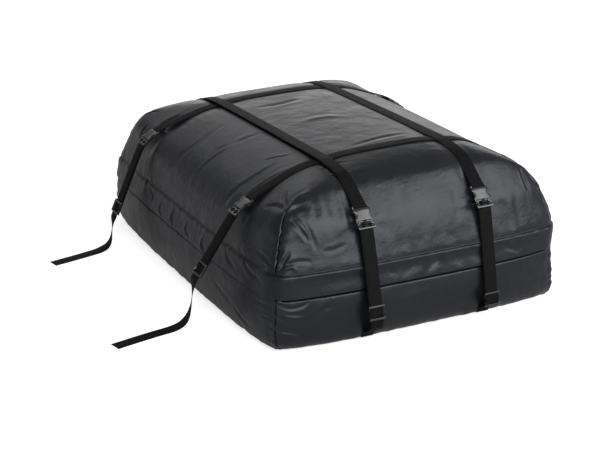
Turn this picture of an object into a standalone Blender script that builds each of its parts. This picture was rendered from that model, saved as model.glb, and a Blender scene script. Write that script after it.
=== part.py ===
# A soft rooftop cargo bag, stuffed full, zipped shut and strapped.
# Metres, +Z up. The origin is at the middle of the tub's flat bottom. The short front
# faces -Y, and the long sides face -X and +X.

from math import cos, radians, sin

import bmesh
import bpy
from mathutils import Matrix, Vector

# The bag
BAG_WIDTH = 0.864
BAG_LENGTH = 1.118
TUB_HEIGHT = 0.192
ZIP_GAP = 0.022
COVER_WALL = 0.131
CROWN_RISE = 0.098
FABRIC = 0.0025
SEAM_GAP = 0.0005

# Share of the wall's height, inset of the corner, corner radius, how far the middle of a
# long side and of a short end bulges past the corners, and how much less the right side
# is filled than the left
TUB_PROFILE = (
    (0.00, 0.0130, 0.045, 0.022, 0.022, 0.004),
    (0.04, -0.0030, 0.045, 0.024, 0.026, 0.010),
    (0.16, -0.0130, 0.042, 0.027, 0.031, 0.018),
    (0.36, -0.0165, 0.040, 0.031, 0.034, 0.026),
    (0.60, -0.0155, 0.040, 0.031, 0.034, 0.028),
    (0.83, -0.0105, 0.040, 0.022, 0.028, 0.022),
    (1.00, -0.0050, 0.038, 0.011, 0.021, 0.012),
)
COVER_PROFILE = (
    (0.000, -0.0040, 0.036, 0.010, 0.020, 0.008),
    (0.275, 0.0045, 0.040, 0.022, 0.030, 0.000),
    (0.580, 0.0165, 0.044, 0.024, 0.033, 0.000),
    (0.825, 0.0270, 0.050, 0.008, 0.026, 0.000),
    (1.000, 0.0390, 0.058, -0.010, 0.014, 0.000),
)
# How much of a strap's groove each level of the cover's wall takes
GROOVE_SHARE = (0.0, 0.0, 0.5, 0.9, 1.0)
CROWN_POWER_ACROSS = 2.6
CROWN_POWER_ALONG = 7.0
# The load stands higher to the right and to the front: rise per metre
CROWN_LEAN_RIGHT = 0.030
CROWN_LEAN_FRONT = 0.035

# Webbing and where the straps run
WEB_WIDTH = 0.038
WEB_THICK = 0.0013
WEB_GAP = 0.0004
LONG_STRAP_X = 0.180
CROSS_STRAP_Y = 0.333
GROOVE_FLOOR = 0.050
GROOVE_WIDTH = 0.100
LONG_GROOVE = 0.005
FRONT_CROSS_GROOVE = 0.003
REAR_CROSS_GROOVE = 0.012
FOLD_BACK = 0.025
BAR_TURN = 0.0030

# Side-release buckle, measured from the socket's mouth along the strap
BUCKLE_WIDTH = 0.050
BUCKLE_THICK = 0.012
SOCKET_BODY = 0.0355
SOCKET_LENGTH = 0.042
SOCKET_BAR = 0.0025
SOCKET_BAR_THICK = 0.0024
WINDOW_START = 0.008
WINDOW_END = 0.024
WINDOW_INNER = 0.0175
CAVITY_DEPTH = 0.030
CAVITY_WIDTH = 0.043
CAVITY_THICK = 0.0076
LADDER_LENGTH = 0.0235
LADDER_THICK = 0.006
LADDER_RIM = 0.004
LADDER_BAR = (0.0103, 0.0127)
LADDER_BAR_THICK = 0.002
RAIL_INNER = 0.0396
PRONG_PLATE = 0.005
PRONG_WIDTH = 0.0065
PRONG_REACH = 0.028
MOULD_GAP = 0.0004
# How far one part of a moulding runs into the next
BITE = 0.002

# Tri-glide adjuster
GLIDE_WIDTH = 0.047
GLIDE_LENGTH = 0.038
GLIDE_BAR = 0.005
GLIDE_MIDDLE_BAR = 0.006
GLIDE_FRONT = 0.0045
GLIDE_BACK = 0.0040
LAYER_SPACING = 0.0052
# The doubled webbing, about a buckle: where its straight run starts, as (down, out), how it
# is threaded over the ladder's bar, and how far it runs past the adjuster
LOOP_START = (0.030, -0.0046)
THREADED_FRONT = ((0.0185, -0.0043), (0.0125, 0.0030))
THREADED_BACK = ((0.0125, -0.0048), (0.0185, -0.0078))
LADDER_TURN = 0.0115
PAST_ADJUSTER = 0.0025

# Zip, under the storm flap
TAPE_REACH = 0.012
TAPE_GAP = 0.0015
TAPE_THICK = 0.0012
COIL_HEIGHT = 0.0028
COIL_THICK = 0.0035
COIL_SLIT = 0.0022
SLIDER_LENGTH = 0.016
SLIDER_HEIGHT = 0.013
PLATE_THICK = 0.0018
SLIDER_OFFSET = 0.020
BAIL_RISE = 0.0030
BAIL_THICK = 0.0012
SLIDER_NECK = (0.004, 0.0008)
TAB_SLACK = 0.0005
TAB_EYE = 0.0020
TAB_HOLE = 0.0010
TAB_LENGTH = 0.026
TAB_WIDTH = 0.007
TAB_THICK = 0.0014

# Storm flap: height over the cover's lower edge, and how far its inner face stands off
# the wall
FLAP_THICK = 0.0015
FLAP_PROFILE = (
    (0.012, 0.0016),
    (0.004, 0.0022),
    (-0.005, 0.0088),
    (-0.034, 0.0065),
    (-0.062, 0.0045),
)

# Each strap end: the way it faces, which strap, its buckle's mouth as (out past the bag's
# corner line, up from the cover's shoulder), the slope of the buckle below the horizontal,
# and its adjuster's middle as (out past the corner line, up from the ground)
BUCKLE_SLOPE_END = 46.7
BUCKLE_SLOPE_SIDE = 33.0
STRAP_ENDS = {
    "front_left": ("front", -1, (0.0071, -0.0198), BUCKLE_SLOPE_END, (0.081, 0.095)),
    "front_right": ("front", 1, (0.0071, -0.0198), BUCKLE_SLOPE_END, (0.075, 0.062)),
    "rear_left": ("rear", -1, (0.0071, -0.0198), BUCKLE_SLOPE_END, (0.081, 0.095)),
    "rear_right": ("rear", 1, (0.0071, -0.0198), BUCKLE_SLOPE_END, (0.075, 0.062)),
    "left_front": ("left", -1, (-0.0008, -0.0210), BUCKLE_SLOPE_SIDE, (0.111, 0.173)),
    "left_rear": ("left", 1, (-0.0028, -0.0198), BUCKLE_SLOPE_SIDE, (0.098, 0.126)),
    "right_front": ("right", -1, (-0.0008, -0.0210), BUCKLE_SLOPE_SIDE, (0.111, 0.173)),
    "right_rear": ("right", 1, (-0.0028, -0.0198), BUCKLE_SLOPE_SIDE, (0.098, 0.126)),
}
# From an end strap's adjuster down to the tub's bottom seam, as (out past the corner line,
# up from the ground)
SEWN_END = ((0.078, 0.047), (0.062, 0.036), (0.0444, 0.0290), (0.0293, 0.0076))

# The loose tails, once they have left the adjuster: how far out past the corner line, along
# the bag, up, and how far the webbing has turned about the vertical, in degrees
TAIL_ROUTES = {
    "left_front": (
        (0.1330, -0.3320, 0.1300, -10), (0.1345, -0.3300, 0.1080, -22),
        (0.1345, -0.3260, 0.0840, -24), (0.1360, -0.3205, 0.0600, -20),
        (0.1410, -0.3150, 0.0370, -13), (0.1520, -0.3100, 0.0180, -7),
        (0.1690, -0.3070, 0.0070, -3), (0.1920, -0.3070, 0.0022, 0),
        (0.2180, -0.3095, 0.0012, 0), (0.2480, -0.3145, 0.0010, 0),
        (0.2830, -0.3215, 0.0010, 0), (0.3210, -0.3295, 0.0010, 0),
        (0.3590, -0.3380, 0.0010, 0),
    ),
    "left_rear": (
        (0.1150, 0.3320, 0.0820, -10), (0.1180, 0.3305, 0.0640, -20),
        (0.1210, 0.3285, 0.0460, -18), (0.1260, 0.3260, 0.0290, -13),
        (0.1360, 0.3230, 0.0150, -7), (0.1520, 0.3190, 0.0065, -3),
        (0.1750, 0.3140, 0.0022, 0), (0.2080, 0.3070, 0.0012, 0),
        (0.2460, 0.2980, 0.0010, 0), (0.2860, 0.2890, 0.0010, 0),
        (0.3240, 0.2810, 0.0010, 0),
    ),
    "right_front": (
        (0.1330, -0.3300, 0.1300, 8), (0.1350, -0.3250, 0.1080, 18),
        (0.1360, -0.3180, 0.0840, 28), (0.1380, -0.3090, 0.0600, 36),
        (0.1420, -0.2980, 0.0370, 42), (0.1500, -0.2840, 0.0180, 45),
        (0.1620, -0.2680, 0.0070, 46), (0.1760, -0.2520, 0.0022, 46),
        (0.1940, -0.2320, 0.0012, 46), (0.2140, -0.2100, 0.0010, 46),
        (0.2360, -0.1860, 0.0010, 46), (0.2580, -0.1620, 0.0010, 46),
        (0.2800, -0.1380, 0.0010, 46),
    ),
    "right_rear": (
        (0.1150, 0.3340, 0.0820, 8), (0.1180, 0.3355, 0.0640, 14),
        (0.1210, 0.3375, 0.0460, 12), (0.1260, 0.3400, 0.0290, 8),
        (0.1360, 0.3430, 0.0150, 4), (0.1520, 0.3470, 0.0065, 0),
        (0.1750, 0.3520, 0.0022, 0), (0.2080, 0.3590, 0.0012, 0),
        (0.2460, 0.3680, 0.0010, 0), (0.2860, 0.3770, 0.0010, 0),
        (0.3240, 0.3850, 0.0010, 0),
    ),
}
TAIL_START = 0.012
# Below this height a tail lies flat on the ground
LYING_FLAT = 0.002
# Steps of the two grids at the corner's arcs, both ends of a side together
CORNER_STEPS = 6

COVER_BOTTOM = TUB_HEIGHT + ZIP_GAP
SHOULDER = COVER_BOTTOM + COVER_WALL
OUTWARD = {
    "front": Vector((0, -1, 0)),
    "rear": Vector((0, 1, 0)),
    "left": Vector((-1, 0, 0)),
    "right": Vector((1, 0, 0)),
}
HALF_SIZE = {
    "front": BAG_LENGTH / 2, "rear": BAG_LENGTH / 2,
    "left": BAG_WIDTH / 2, "right": BAG_WIDTH / 2,
}
CORNER_ANGLES = (radians(45), radians(22.5), 0.0)


# Materials and objects

def make_material(name, colour, roughness):
    material = bpy.data.materials.new(name)
    material.use_nodes = True
    shader = material.node_tree.nodes["Principled BSDF"]
    shader.inputs["Base Color"].default_value = (*colour, 1.0)
    shader.inputs["Roughness"].default_value = roughness
    shader.inputs["Metallic"].default_value = 0.0
    return material


def add_object(name, mesh, material, parent=None):
    item = bpy.data.objects.new(name, mesh)
    bpy.context.scene.collection.objects.link(item)
    if not mesh.materials:
        mesh.materials.append(material)
    if parent:
        item.parent = parent
    return item


def mesh_from(name, points, faces):
    mesh = bpy.data.meshes.new(name)
    mesh.from_pydata([tuple(p) for p in points], [], faces)
    mesh.validate()
    return mesh


def add_axis(name, place, parent=None):
    axis = bpy.data.objects.new(name, None)
    bpy.context.scene.collection.objects.link(axis)
    if parent:
        axis.parent = parent
        axis.matrix_parent_inverse = parent.matrix_world.inverted()
    axis.matrix_world = place
    bpy.context.view_layer.update()
    return axis


# The bag's outline, one ring of points for each height

def wall_levels():
    levels = [(share * TUB_HEIGHT, *rest) for share, *rest in TUB_PROFILE]
    levels += [(COVER_BOTTOM + share * COVER_WALL, *rest) for share, *rest in COVER_PROFILE]
    return levels


def level_at(height):
    levels = wall_levels()
    for low, high in zip(levels, levels[1:]):
        if height <= high[0]:
            share = (height - low[0]) / (high[0] - low[0])
            return tuple(a + (b - a) * share for a, b in zip(low, high))
    return levels[-1]


def inner_stops(strap, half, radius, middle=()):
    floor, edge = GROOVE_FLOOR / 2, GROOVE_WIDTH / 2
    outer = (strap + edge + half - radius) / 2
    right = [*middle, strap - edge, strap - floor, strap + floor, strap + edge, outer]
    return [-x for x in reversed(right)] + [0.0] + right


def stops_x():
    _, inset, radius, *_ = wall_levels()[-1]
    return inner_stops(LONG_STRAP_X, BAG_WIDTH / 2 - inset, radius)


def stops_y():
    _, inset, radius, *_ = wall_levels()[-1]
    middle = ((CROSS_STRAP_Y - GROOVE_WIDTH / 2) / 2,)
    return inner_stops(CROSS_STRAP_Y, BAG_LENGTH / 2 - inset, radius, middle)


def side_points(half, radius, stops):
    # Pairs of place along the side and depth behind it, up to the next corner's middle
    ends = [(half - radius + radius * sin(a), radius * (1 - cos(a))) for a in CORNER_ANGLES]
    return [(-x, d) for x, d in ends] + [(x, 0.0) for x in stops] + ends[:0:-1]


def bulge_share(along, half):
    return 1 - min(abs(along) / half, 1.0) ** 4


def groove_share(along, strap):
    off = abs(abs(along) - strap)
    floor, edge = GROOVE_FLOOR / 2, GROOVE_WIDTH / 2
    return min(max((edge - off) / (edge - floor), 0.0), 1.0)


def cross_groove(along):
    return FRONT_CROSS_GROOVE if along < 0 else REAR_CROSS_GROOVE


def ring(level, stand_off=0.0, groove=0.0):
    height, inset, radius, side_bulge, end_bulge, slack = level
    half_x, half_y = BAG_WIDTH / 2 - inset, BAG_LENGTH / 2 - inset
    ends = side_points(half_x, radius, stops_x())
    sides = side_points(half_y, radius, stops_y())
    points = []
    for way in ("front", "right", "rear", "left"):
        on_end = way in ("front", "rear")
        half, other, bulge = (
            (half_x, half_y, end_bulge) if on_end else (half_y, half_x, side_bulge)
        )
        turn = Vector((0, 0, 1)).cross(OUTWARD[way])
        for along, depth in ends if on_end else sides:
            spot = turn * along
            if on_end:
                dent = LONG_GROOVE * groove_share(along, LONG_STRAP_X)
            else:
                dent = cross_groove(spot.y) * groove_share(along, CROSS_STRAP_Y)
            out = other - depth + bulge * bulge_share(along, half)
            facing = 1 - depth / radius
            turned = (1 - facing ** 2) ** 0.5 * (1 if along > 0 else -1)
            spot += OUTWARD[way] * (out + stand_off * facing - dent * groove)
            spot += turn * (stand_off * turned)
            spot.x -= slack * max(spot.x, 0.0) / half_x
            points.append(Vector((spot.x, spot.y, height - dent * groove * (groove == 1.0))))
    return points


def wall_faces(rings, count):
    return [
        (k * count + i, k * count + (i + 1) % count,
         (k + 1) * count + (i + 1) % count, (k + 1) * count + i)
        for k in range(rings - 1)
        for i in range(count)
    ]


def shell(name, points, faces, material):
    item = add_object(name, mesh_from(name, points, faces), material)
    wall = item.modifiers.new("Wall", "SOLIDIFY")
    wall.thickness = FABRIC
    wall.offset = -1.0
    wall.use_even_offset = True
    return item


def base_tub(material):
    rings = [ring((share * TUB_HEIGHT, *rest)) for share, *rest in TUB_PROFILE]
    count = len(rings[0])
    faces = wall_faces(len(rings), count)
    faces.append(tuple(reversed(range(count))))
    return shell("base_tub", [p for r in rings for p in r], faces, material)


# The cover: walls in rings, and a crown on a grid that ends on the top ring

def crown_height(x, y):
    _, inset, _, side_bulge, end_bulge, _ = wall_levels()[-1]
    half_x, half_y = BAG_WIDTH / 2 - inset, BAG_LENGTH / 2 - inset
    across = abs(x) / (half_x + side_bulge * bulge_share(y, half_y))
    along = abs(y) / (half_y + end_bulge * bulge_share(x, half_x))
    falls = (1 - across ** CROWN_POWER_ACROSS, 1 - along ** CROWN_POWER_ALONG)
    share = sum(max(fall, 0.001) ** -4 for fall in falls) ** -0.25
    rise = CROWN_RISE + CROWN_LEAN_RIGHT * x - CROWN_LEAN_FRONT * y
    dent = LONG_GROOVE * groove_share(x, LONG_STRAP_X) * (0.25 + 0.75 * along ** 2)
    dent += cross_groove(y) * groove_share(y, CROSS_STRAP_Y) * (0.2 + 0.8 * across ** 3)
    return SHOULDER + rise * share - dent


def cover_geometry():
    levels = wall_levels()[len(TUB_PROFILE):]
    rings = [ring(level, groove=share) for level, share in zip(levels, GROOVE_SHARE)]
    count = len(rings[0])
    points = [p for r in rings for p in r]
    faces = wall_faces(len(rings), count)
    columns = len(stops_x()) + CORNER_STEPS
    rows = len(stops_y()) + CORNER_STEPS
    top = rings[-1]
    first = len(points) - count
    spots = {}
    for i in range(columns):
        spots[i, 0] = first + i
        spots[i, rows - 1] = first + 2 * (columns - 1) + (rows - 1) - i
    for j in range(1, rows - 1):
        spots[columns - 1, j] = first + columns - 1 + j
        spots[0, j] = first + count - j
    for i in range(1, columns - 1):
        for j in range(1, rows - 1):
            x, y = top[i].x, top[columns - 1 + j].y
            spots[i, j] = len(points)
            points.append(Vector((x, y, crown_height(x, y))))
    for i in range(columns - 1):
        for j in range(rows - 1):
            faces.append((spots[i, j], spots[i + 1, j], spots[i + 1, j + 1], spots[i, j + 1]))
    return points, faces


def top_cover(material):
    points, faces = cover_geometry()
    return shell("top_cover", points, faces, material)


# Bands that follow the wall: the zip halves, the hinge strip and the storm flap

def band(name, section, first, last, material):
    # section is a closed outline of (height, stand-off), anticlockwise seen from the
    # band's first end
    rings = [ring(level_at(height), stand_off) for height, stand_off in section]
    count = len(rings[0])
    spans = [i % count for i in range(first, last + 1)]
    size = len(section)
    points = [r[i] for i in spans for r in rings]
    faces = []
    for k in range(len(spans) - 1):
        for s in range(size):
            a, b = k * size + s, k * size + (s + 1) % size
            faces.append((a, b, b + size, a + size))
    faces.append(tuple(reversed(range(size))))
    end = (len(spans) - 1) * size
    faces.append(tuple(range(end, end + size)))
    mesh = mesh_from(name, points, faces)
    tidy = bmesh.new()
    tidy.from_mesh(mesh)
    bmesh.ops.recalc_face_normals(tidy, faces=tidy.faces)
    tidy.to_mesh(mesh)
    tidy.free()
    return add_object(name, mesh, material)


def zip_span():
    # From the rear left corner past the front to the rear right corner
    columns, rows = len(stops_x()) + CORNER_STEPS, len(stops_y()) + CORNER_STEPS
    count = 2 * (columns - 1) + 2 * (rows - 1)
    right_end = (columns - 1) + (rows - 1)
    left_start = right_end + columns - 1 - count
    return left_start, right_end, count


def zip_halves(material):
    first, last, _ = zip_span()
    back = -(FABRIC + TAPE_GAP + TAPE_THICK)
    face = back + TAPE_THICK
    middle = TUB_HEIGHT + ZIP_GAP / 2
    slit = COIL_SLIT / 2
    coil = slit + COIL_HEIGHT
    proud = back + COIL_THICK
    for name, way in (("lower_zip_half", -1), ("upper_zip_half", 1)):
        edge = middle + way * (ZIP_GAP / 2 + TAPE_REACH)
        turn = middle + way * ZIP_GAP / 2
        section = (
            (edge, back), (turn, back), (middle + way * slit, back),
            (middle + way * slit, proud), (middle + way * coil, proud),
            (middle + way * coil, face), (turn, face), (edge, face),
        )
        band(name, section, first, last, material)


def rear_hinge_strip(material):
    _, last, count = zip_span()
    first_left = count + zip_span()[0]
    back = -(FABRIC + TAPE_GAP + TAPE_THICK)
    low, high = TUB_HEIGHT - TAPE_REACH, COVER_BOTTOM + TAPE_REACH
    face = back + TAPE_THICK
    section = (
        (low, back), (TUB_HEIGHT, back), (COVER_BOTTOM, back), (high, back),
        (high, face), (COVER_BOTTOM, face), (TUB_HEIGHT, face), (low, face),
    )
    band("rear_hinge_strip", section, last + 1, first_left - 1, material)


def storm_flap(material):
    first, last, _ = zip_span()
    inner = [(COVER_BOTTOM + rise, off) for rise, off in FLAP_PROFILE]
    outer = [(height, off + FLAP_THICK) for height, off in reversed(inner)]
    band("storm_flap", inner + outer, first, last, material)


# Plain boxes joined and cut

def box_mesh(name, low, high):
    mesh = bpy.data.meshes.new(name)
    box = bmesh.new()
    bmesh.ops.create_cube(box, size=1.0)
    middle = [(a + b) / 2 for a, b in zip(low, high)]
    sizes = [b - a for a, b in zip(low, high)]
    for corner in box.verts:
        corner.co = Vector([m + c * s for m, c, s in zip(middle, corner.co, sizes)])
    box.to_mesh(mesh)
    box.free()
    return mesh


def combined(name, added, removed=()):
    base = bpy.data.objects.new(name, box_mesh(name, *added[0]))
    bpy.context.scene.collection.objects.link(base)
    helpers = []
    steps = [(b, "UNION") for b in added[1:]] + [(b, "DIFFERENCE") for b in removed]
    for (low, high), operation in steps:
        helper = bpy.data.objects.new(name + "_helper", box_mesh(name + "_helper", low, high))
        bpy.context.scene.collection.objects.link(helper)
        cut = base.modifiers.new(operation.title(), "BOOLEAN")
        cut.operation = operation
        cut.solver = "EXACT"
        cut.object = helper
        helpers.append(helper)
    bpy.context.view_layer.update()
    seen = base.evaluated_get(bpy.context.evaluated_depsgraph_get())
    mesh = bpy.data.meshes.new_from_object(seen)
    mesh.name = name
    for item in (base, *helpers):
        bpy.data.objects.remove(item)
    return mesh


def mirrored_boxes(x0, x1, low, high):
    # A box on each side of x = 0; low and high are its (y, z) corners
    return [((x0, *low), (x1, *high)), ((-x1, *low), (-x0, *high))]


def socket_mesh():
    half, rail = BUCKLE_WIDTH / 2, RAIL_INNER / 2
    thick, thin = BUCKLE_THICK / 2, LADDER_THICK / 2
    added = [((-half, -SOCKET_BODY, -thick), (half, 0, thick))]
    added += mirrored_boxes(rail, half + 0.001, (-SOCKET_LENGTH, -thin), (BITE - SOCKET_BODY, thin))
    bar_end, bar = SOCKET_BAR - SOCKET_LENGTH, SOCKET_BAR_THICK / 2
    added.append(((-rail - BITE, -SOCKET_LENGTH, -bar), (rail + BITE, bar_end, bar)))
    cavity_x, cavity_z = CAVITY_WIDTH / 2, CAVITY_THICK / 2
    removed = [((-cavity_x, -CAVITY_DEPTH, -cavity_z), (cavity_x, BUCKLE_THICK, cavity_z))]
    removed += mirrored_boxes(
        WINDOW_INNER, BUCKLE_WIDTH, (-WINDOW_END, -BUCKLE_THICK), (-WINDOW_START, BUCKLE_THICK)
    )
    return combined("socket", added, removed)


def prong_mesh():
    half, rail, thin = BUCKLE_WIDTH / 2, RAIL_INNER / 2, LADDER_THICK / 2
    side, bar = rail + BITE, LADDER_BAR_THICK / 2
    bar_low, bar_high = LADDER_BAR
    prong_x = CAVITY_WIDTH / 2 - MOULD_GAP
    prong_z = CAVITY_THICK / 2 - MOULD_GAP
    guide, guide_z = PRONG_WIDTH * 0.75, prong_z - 0.001
    added = [((-half, MOULD_GAP, -thin), (half, PRONG_PLATE, thin))]
    added += mirrored_boxes(rail, half, (PRONG_PLATE - BITE, -thin), (LADDER_LENGTH, thin))
    added.append(((-side, bar_low, -bar), (side, bar_high, bar)))
    added.append(((-side, LADDER_LENGTH - LADDER_RIM, -thin), (side, LADDER_LENGTH, thin)))
    added.append(((-guide, 0.004 - PRONG_REACH, -guide_z), (guide, BITE, guide_z)))
    added += mirrored_boxes(
        prong_x - PRONG_WIDTH, prong_x, (-PRONG_REACH, -prong_z), (BITE, prong_z)
    )
    return combined("prong_half", added)


def glide_mesh():
    half, length = GLIDE_WIDTH / 2, GLIDE_LENGTH / 2
    rail = RAIL_INNER / 2
    front = WEB_THICK / 2 + MOULD_GAP
    added = mirrored_boxes(rail, half, (-length, -GLIDE_BACK), (length, GLIDE_FRONT))
    for low, high, bottom, top in (
        (-length, GLIDE_BAR - length, front, GLIDE_FRONT),
        (length - GLIDE_BAR, length, front, GLIDE_FRONT),
        (-GLIDE_MIDDLE_BAR / 2, GLIDE_MIDDLE_BAR / 2, -GLIDE_BACK, -front),
    ):
        added.append(((-rail - BITE, low, bottom), (rail + BITE, high, top)))
    return combined("adjuster", added)


# Webbing

def ribbon_mesh(name, points, across, thickness=WEB_THICK, width=WEB_WIDTH):
    # points are the middle line; across gives the width's direction at each of them
    lines = []
    for k, point in enumerate(points):
        before = points[k] - points[k - 1] if k else points[1] - points[0]
        after = points[k + 1] - points[k] if k + 1 < len(points) else before
        before, after = before.normalized(), after.normalized()
        along = (before + after).normalized()
        side = (across[k] - along * across[k].dot(along)).normalized()
        up = side.cross(along)
        mitre = 1 / max(along.dot(after), 0.5)
        half_side, half_up = side * (width / 2), up * (thickness / 2 * mitre)
        lines.append([point - half_side - half_up, point + half_side - half_up,
                      point + half_side + half_up, point - half_side + half_up])
    faces = []
    for k in range(len(lines) - 1):
        for s in range(4):
            a, b = k * 4 + s, k * 4 + (s + 1) % 4
            faces.append((a, b, b + 4, a + 4))
    faces.append((0, 3, 2, 1))
    end = (len(lines) - 1) * 4
    faces.append((end, end + 1, end + 2, end + 3))
    mesh = mesh_from(name, [p for line in lines for p in line], faces)
    tidy = bmesh.new()
    tidy.from_mesh(mesh)
    bmesh.ops.recalc_face_normals(tidy, faces=tidy.faces)
    # A twisted quad isn't flat, so each is split the same way for every use
    bmesh.ops.triangulate(tidy, faces=tidy.faces)
    tidy.to_mesh(mesh)
    tidy.free()
    return mesh


def buckle_frame(end):
    # The mouth's place, and the directions across, down the strap and outward
    way, side, mouth, slope, _ = STRAP_ENDS[end]
    out = OUTWARD[way]
    drop = radians(slope)
    down = out * cos(drop) - Vector((0, 0, 1)) * sin(drop)
    up = out * sin(drop) + Vector((0, 0, 1)) * cos(drop)
    place = strap_place(way, side, mouth[0], SHOULDER + mouth[1])
    return place, down.cross(up), down, up


def strap_place(way, side, out, height):
    spot = strap_base(way, side) + OUTWARD[way] * (HALF_SIZE[way] + out)
    return spot + Vector((0, 0, height))


def strap_base(way, side):
    if way in ("front", "rear"):
        return Vector((side * LONG_STRAP_X, 0, 0))
    return Vector((0, side * CROSS_STRAP_Y, 0))


def as_matrix(place, across, down, up):
    columns = Matrix((across, down, up)).transposed()
    return Matrix.Translation(place) @ columns.to_4x4()


def bar_turn(centre, radius, start, stop, steps):
    # An arc in (along, out) about a buckle's bar
    angles = [radians(start + (stop - start) * k / steps) for k in range(steps + 1)]
    return [(centre[0] + radius * cos(a), centre[1] + radius * sin(a)) for a in angles]


def convex_top(points):
    # The upper hull of (along, up) points, which is how a taut strap lies
    hull = []
    for point in sorted(points):
        while len(hull) > 1:
            (ax, ay), (bx, by) = hull[-2], hull[-1]
            if (bx - ax) * (point[1] - ay) - (by - ay) * (point[0] - ax) < 0:
                break
            hull.pop()
        hull.append(point)
    return hull


def offset_line(line, amount):
    moved = []
    for k, (x, y) in enumerate(line):
        x0, y0 = line[max(k - 1, 0)]
        x1, y1 = line[min(k + 1, len(line) - 1)]
        size = ((x1 - x0) ** 2 + (y1 - y0) ** 2) ** 0.5
        moved.append((x - (y1 - y0) / size * amount, y + (x1 - x0) / size * amount))
    return moved


def over_strap(name, ends, surface, material):
    # Taut webbing from one socket's bar over the cover to the other's
    frames = [buckle_frame(end) for end in ends]
    way = STRAP_ENDS[ends[0]][0]
    axis = 1 if way == "front" else 0
    base = strap_base(way, STRAP_ENDS[ends[0]][1])
    clear = WEB_GAP + WEB_THICK / 2
    bar = SOCKET_BAR * 0.6 - SOCKET_LENGTH
    starts = []
    for place, _, down, up in frames:
        top = place + down * bar + up * BAR_TURN
        starts.append((top[axis], top.z))
    line = offset_line(convex_top(surface), clear)
    inside = [p for p in line if starts[0][0] < p[0] < starts[1][0]]
    hull = convex_top([*starts, *inside])
    arms = []
    for (place, _, down, up), first, second in (
        (frames[0], hull[0], hull[1]),
        (frames[1], hull[-1], hull[-2]),
    ):
        arc = bar_turn((bar, 0.0), BAR_TURN, -90, 90, 4)[:-1]
        arc = [place + down * s + up * n for s, n in arc]
        arc = [(p[axis], p.z) for p in arc]
        away = Vector((second[0] - first[0], second[1] - first[1])).normalized()
        back = Vector(arc[0]) + away * FOLD_BACK
        arms.append([tuple(back), *arc])
    flat = arms[0] + hull + arms[1][::-1]
    points = []
    for along, height in flat:
        point = base.copy()
        point[axis] = along
        point.z = height
        points.append(point)
    across = Vector((1, 0, 0)) if axis == 1 else Vector((0, -1, 0))
    mesh = ribbon_mesh(name, points, [across] * len(points))
    add_object(name, mesh, material)
    return hull


def strap_section(points, strap_x=None, strap_y=None):
    # The cover's points under a strap, as (along the strap, up)
    reach = GROOVE_FLOOR / 2 + 0.0001
    if strap_x is not None:
        return [(p.y, p.z) for p in points if abs(p.x - strap_x) < reach]
    return [(p.x, p.z) for p in points if abs(p.y - strap_y) < reach]


def over_straps(material):
    points, _ = cover_geometry()
    crossings = []
    for name, side in (("cross_strap_front", -1), ("cross_strap_rear", 1)):
        place = "front" if side < 0 else "rear"
        section = strap_section(points, strap_y=side * CROSS_STRAP_Y)
        ends = (f"left_{place}", f"right_{place}")
        hull = over_strap(name, ends, section, material)
        near = [z for x, z in hull if abs(x) < LONG_STRAP_X + GROOVE_FLOOR]
        for edge in (-1, 1):
            crossings.append((side * CROSS_STRAP_Y + edge * WEB_WIDTH / 2, max(near)))
    for name, side in (("long_strap_left", -1), ("long_strap_right", 1)):
        place = "left" if side < 0 else "right"
        section = strap_section(points, strap_x=side * LONG_STRAP_X)
        height = crossing_height(points, side)
        section += [(y, min(z, height(y)) + WEB_THICK + WEB_GAP) for y, z in crossings]
        over_strap(name, (f"front_{place}", f"rear_{place}"), section, material)


def crossing_height(points, side):
    # How high the crosswise webbing's middle lies where the lengthwise strap crosses it
    def height(y):
        strap_y = CROSS_STRAP_Y if y > 0 else -CROSS_STRAP_Y
        section = strap_section(points, strap_y=strap_y)
        line = offset_line(convex_top(section), WEB_GAP + WEB_THICK / 2)
        low_x = LONG_STRAP_X - WEB_WIDTH / 2
        spans = [(a, b) for a, b in zip(line, line[1:]) if a[0] <= low_x <= b[0]]
        (x0, z0), (x1, z1) = spans[0]
        return z0 + (z1 - z0) * (low_x - x0) / (x1 - x0) + WEB_THICK / 2
    return height


# A strap's lower end: prong half, doubled webbing and adjuster

def loop_directions(end):
    place, across, down, up = buckle_frame(end)
    way, side, _, _, glide = STRAP_ENDS[end]
    start = place + down * LOOP_START[0] + up * LOOP_START[1]
    middle = strap_place(way, side, *glide)
    along = (middle - start).normalized()
    return start, middle, along, along.cross(across) * -1


def lower_strap(end, material, parent):
    place, across, down, up = buckle_frame(end)
    start, middle, along, out = loop_directions(end)
    way, side, _, _, _ = STRAP_ENDS[end]
    on_end = way in ("front", "rear")
    below = GLIDE_LENGTH / 2 + PAST_ADJUSTER
    points = []
    if on_end:
        sewn = [strap_place(way, side, out, height) for out, height in SEWN_END]
        points += sewn[::-1]
    points += [middle + along * below, start]
    turn = bar_turn((LADDER_TURN, 0), BAR_TURN, 100, 225, 3)
    threaded = [*THREADED_FRONT, *turn, *THREADED_BACK]
    points += [place + down * s + up * n for s, n in threaded]
    points += [start - out * LAYER_SPACING, middle + along * below - out * LAYER_SPACING]
    mesh = ribbon_mesh(end + "_lower_strap", points, [across] * len(points))
    mesh.transform(parent.matrix_world.inverted())
    add_object(end + "_lower_strap", mesh, material, parent)


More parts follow.
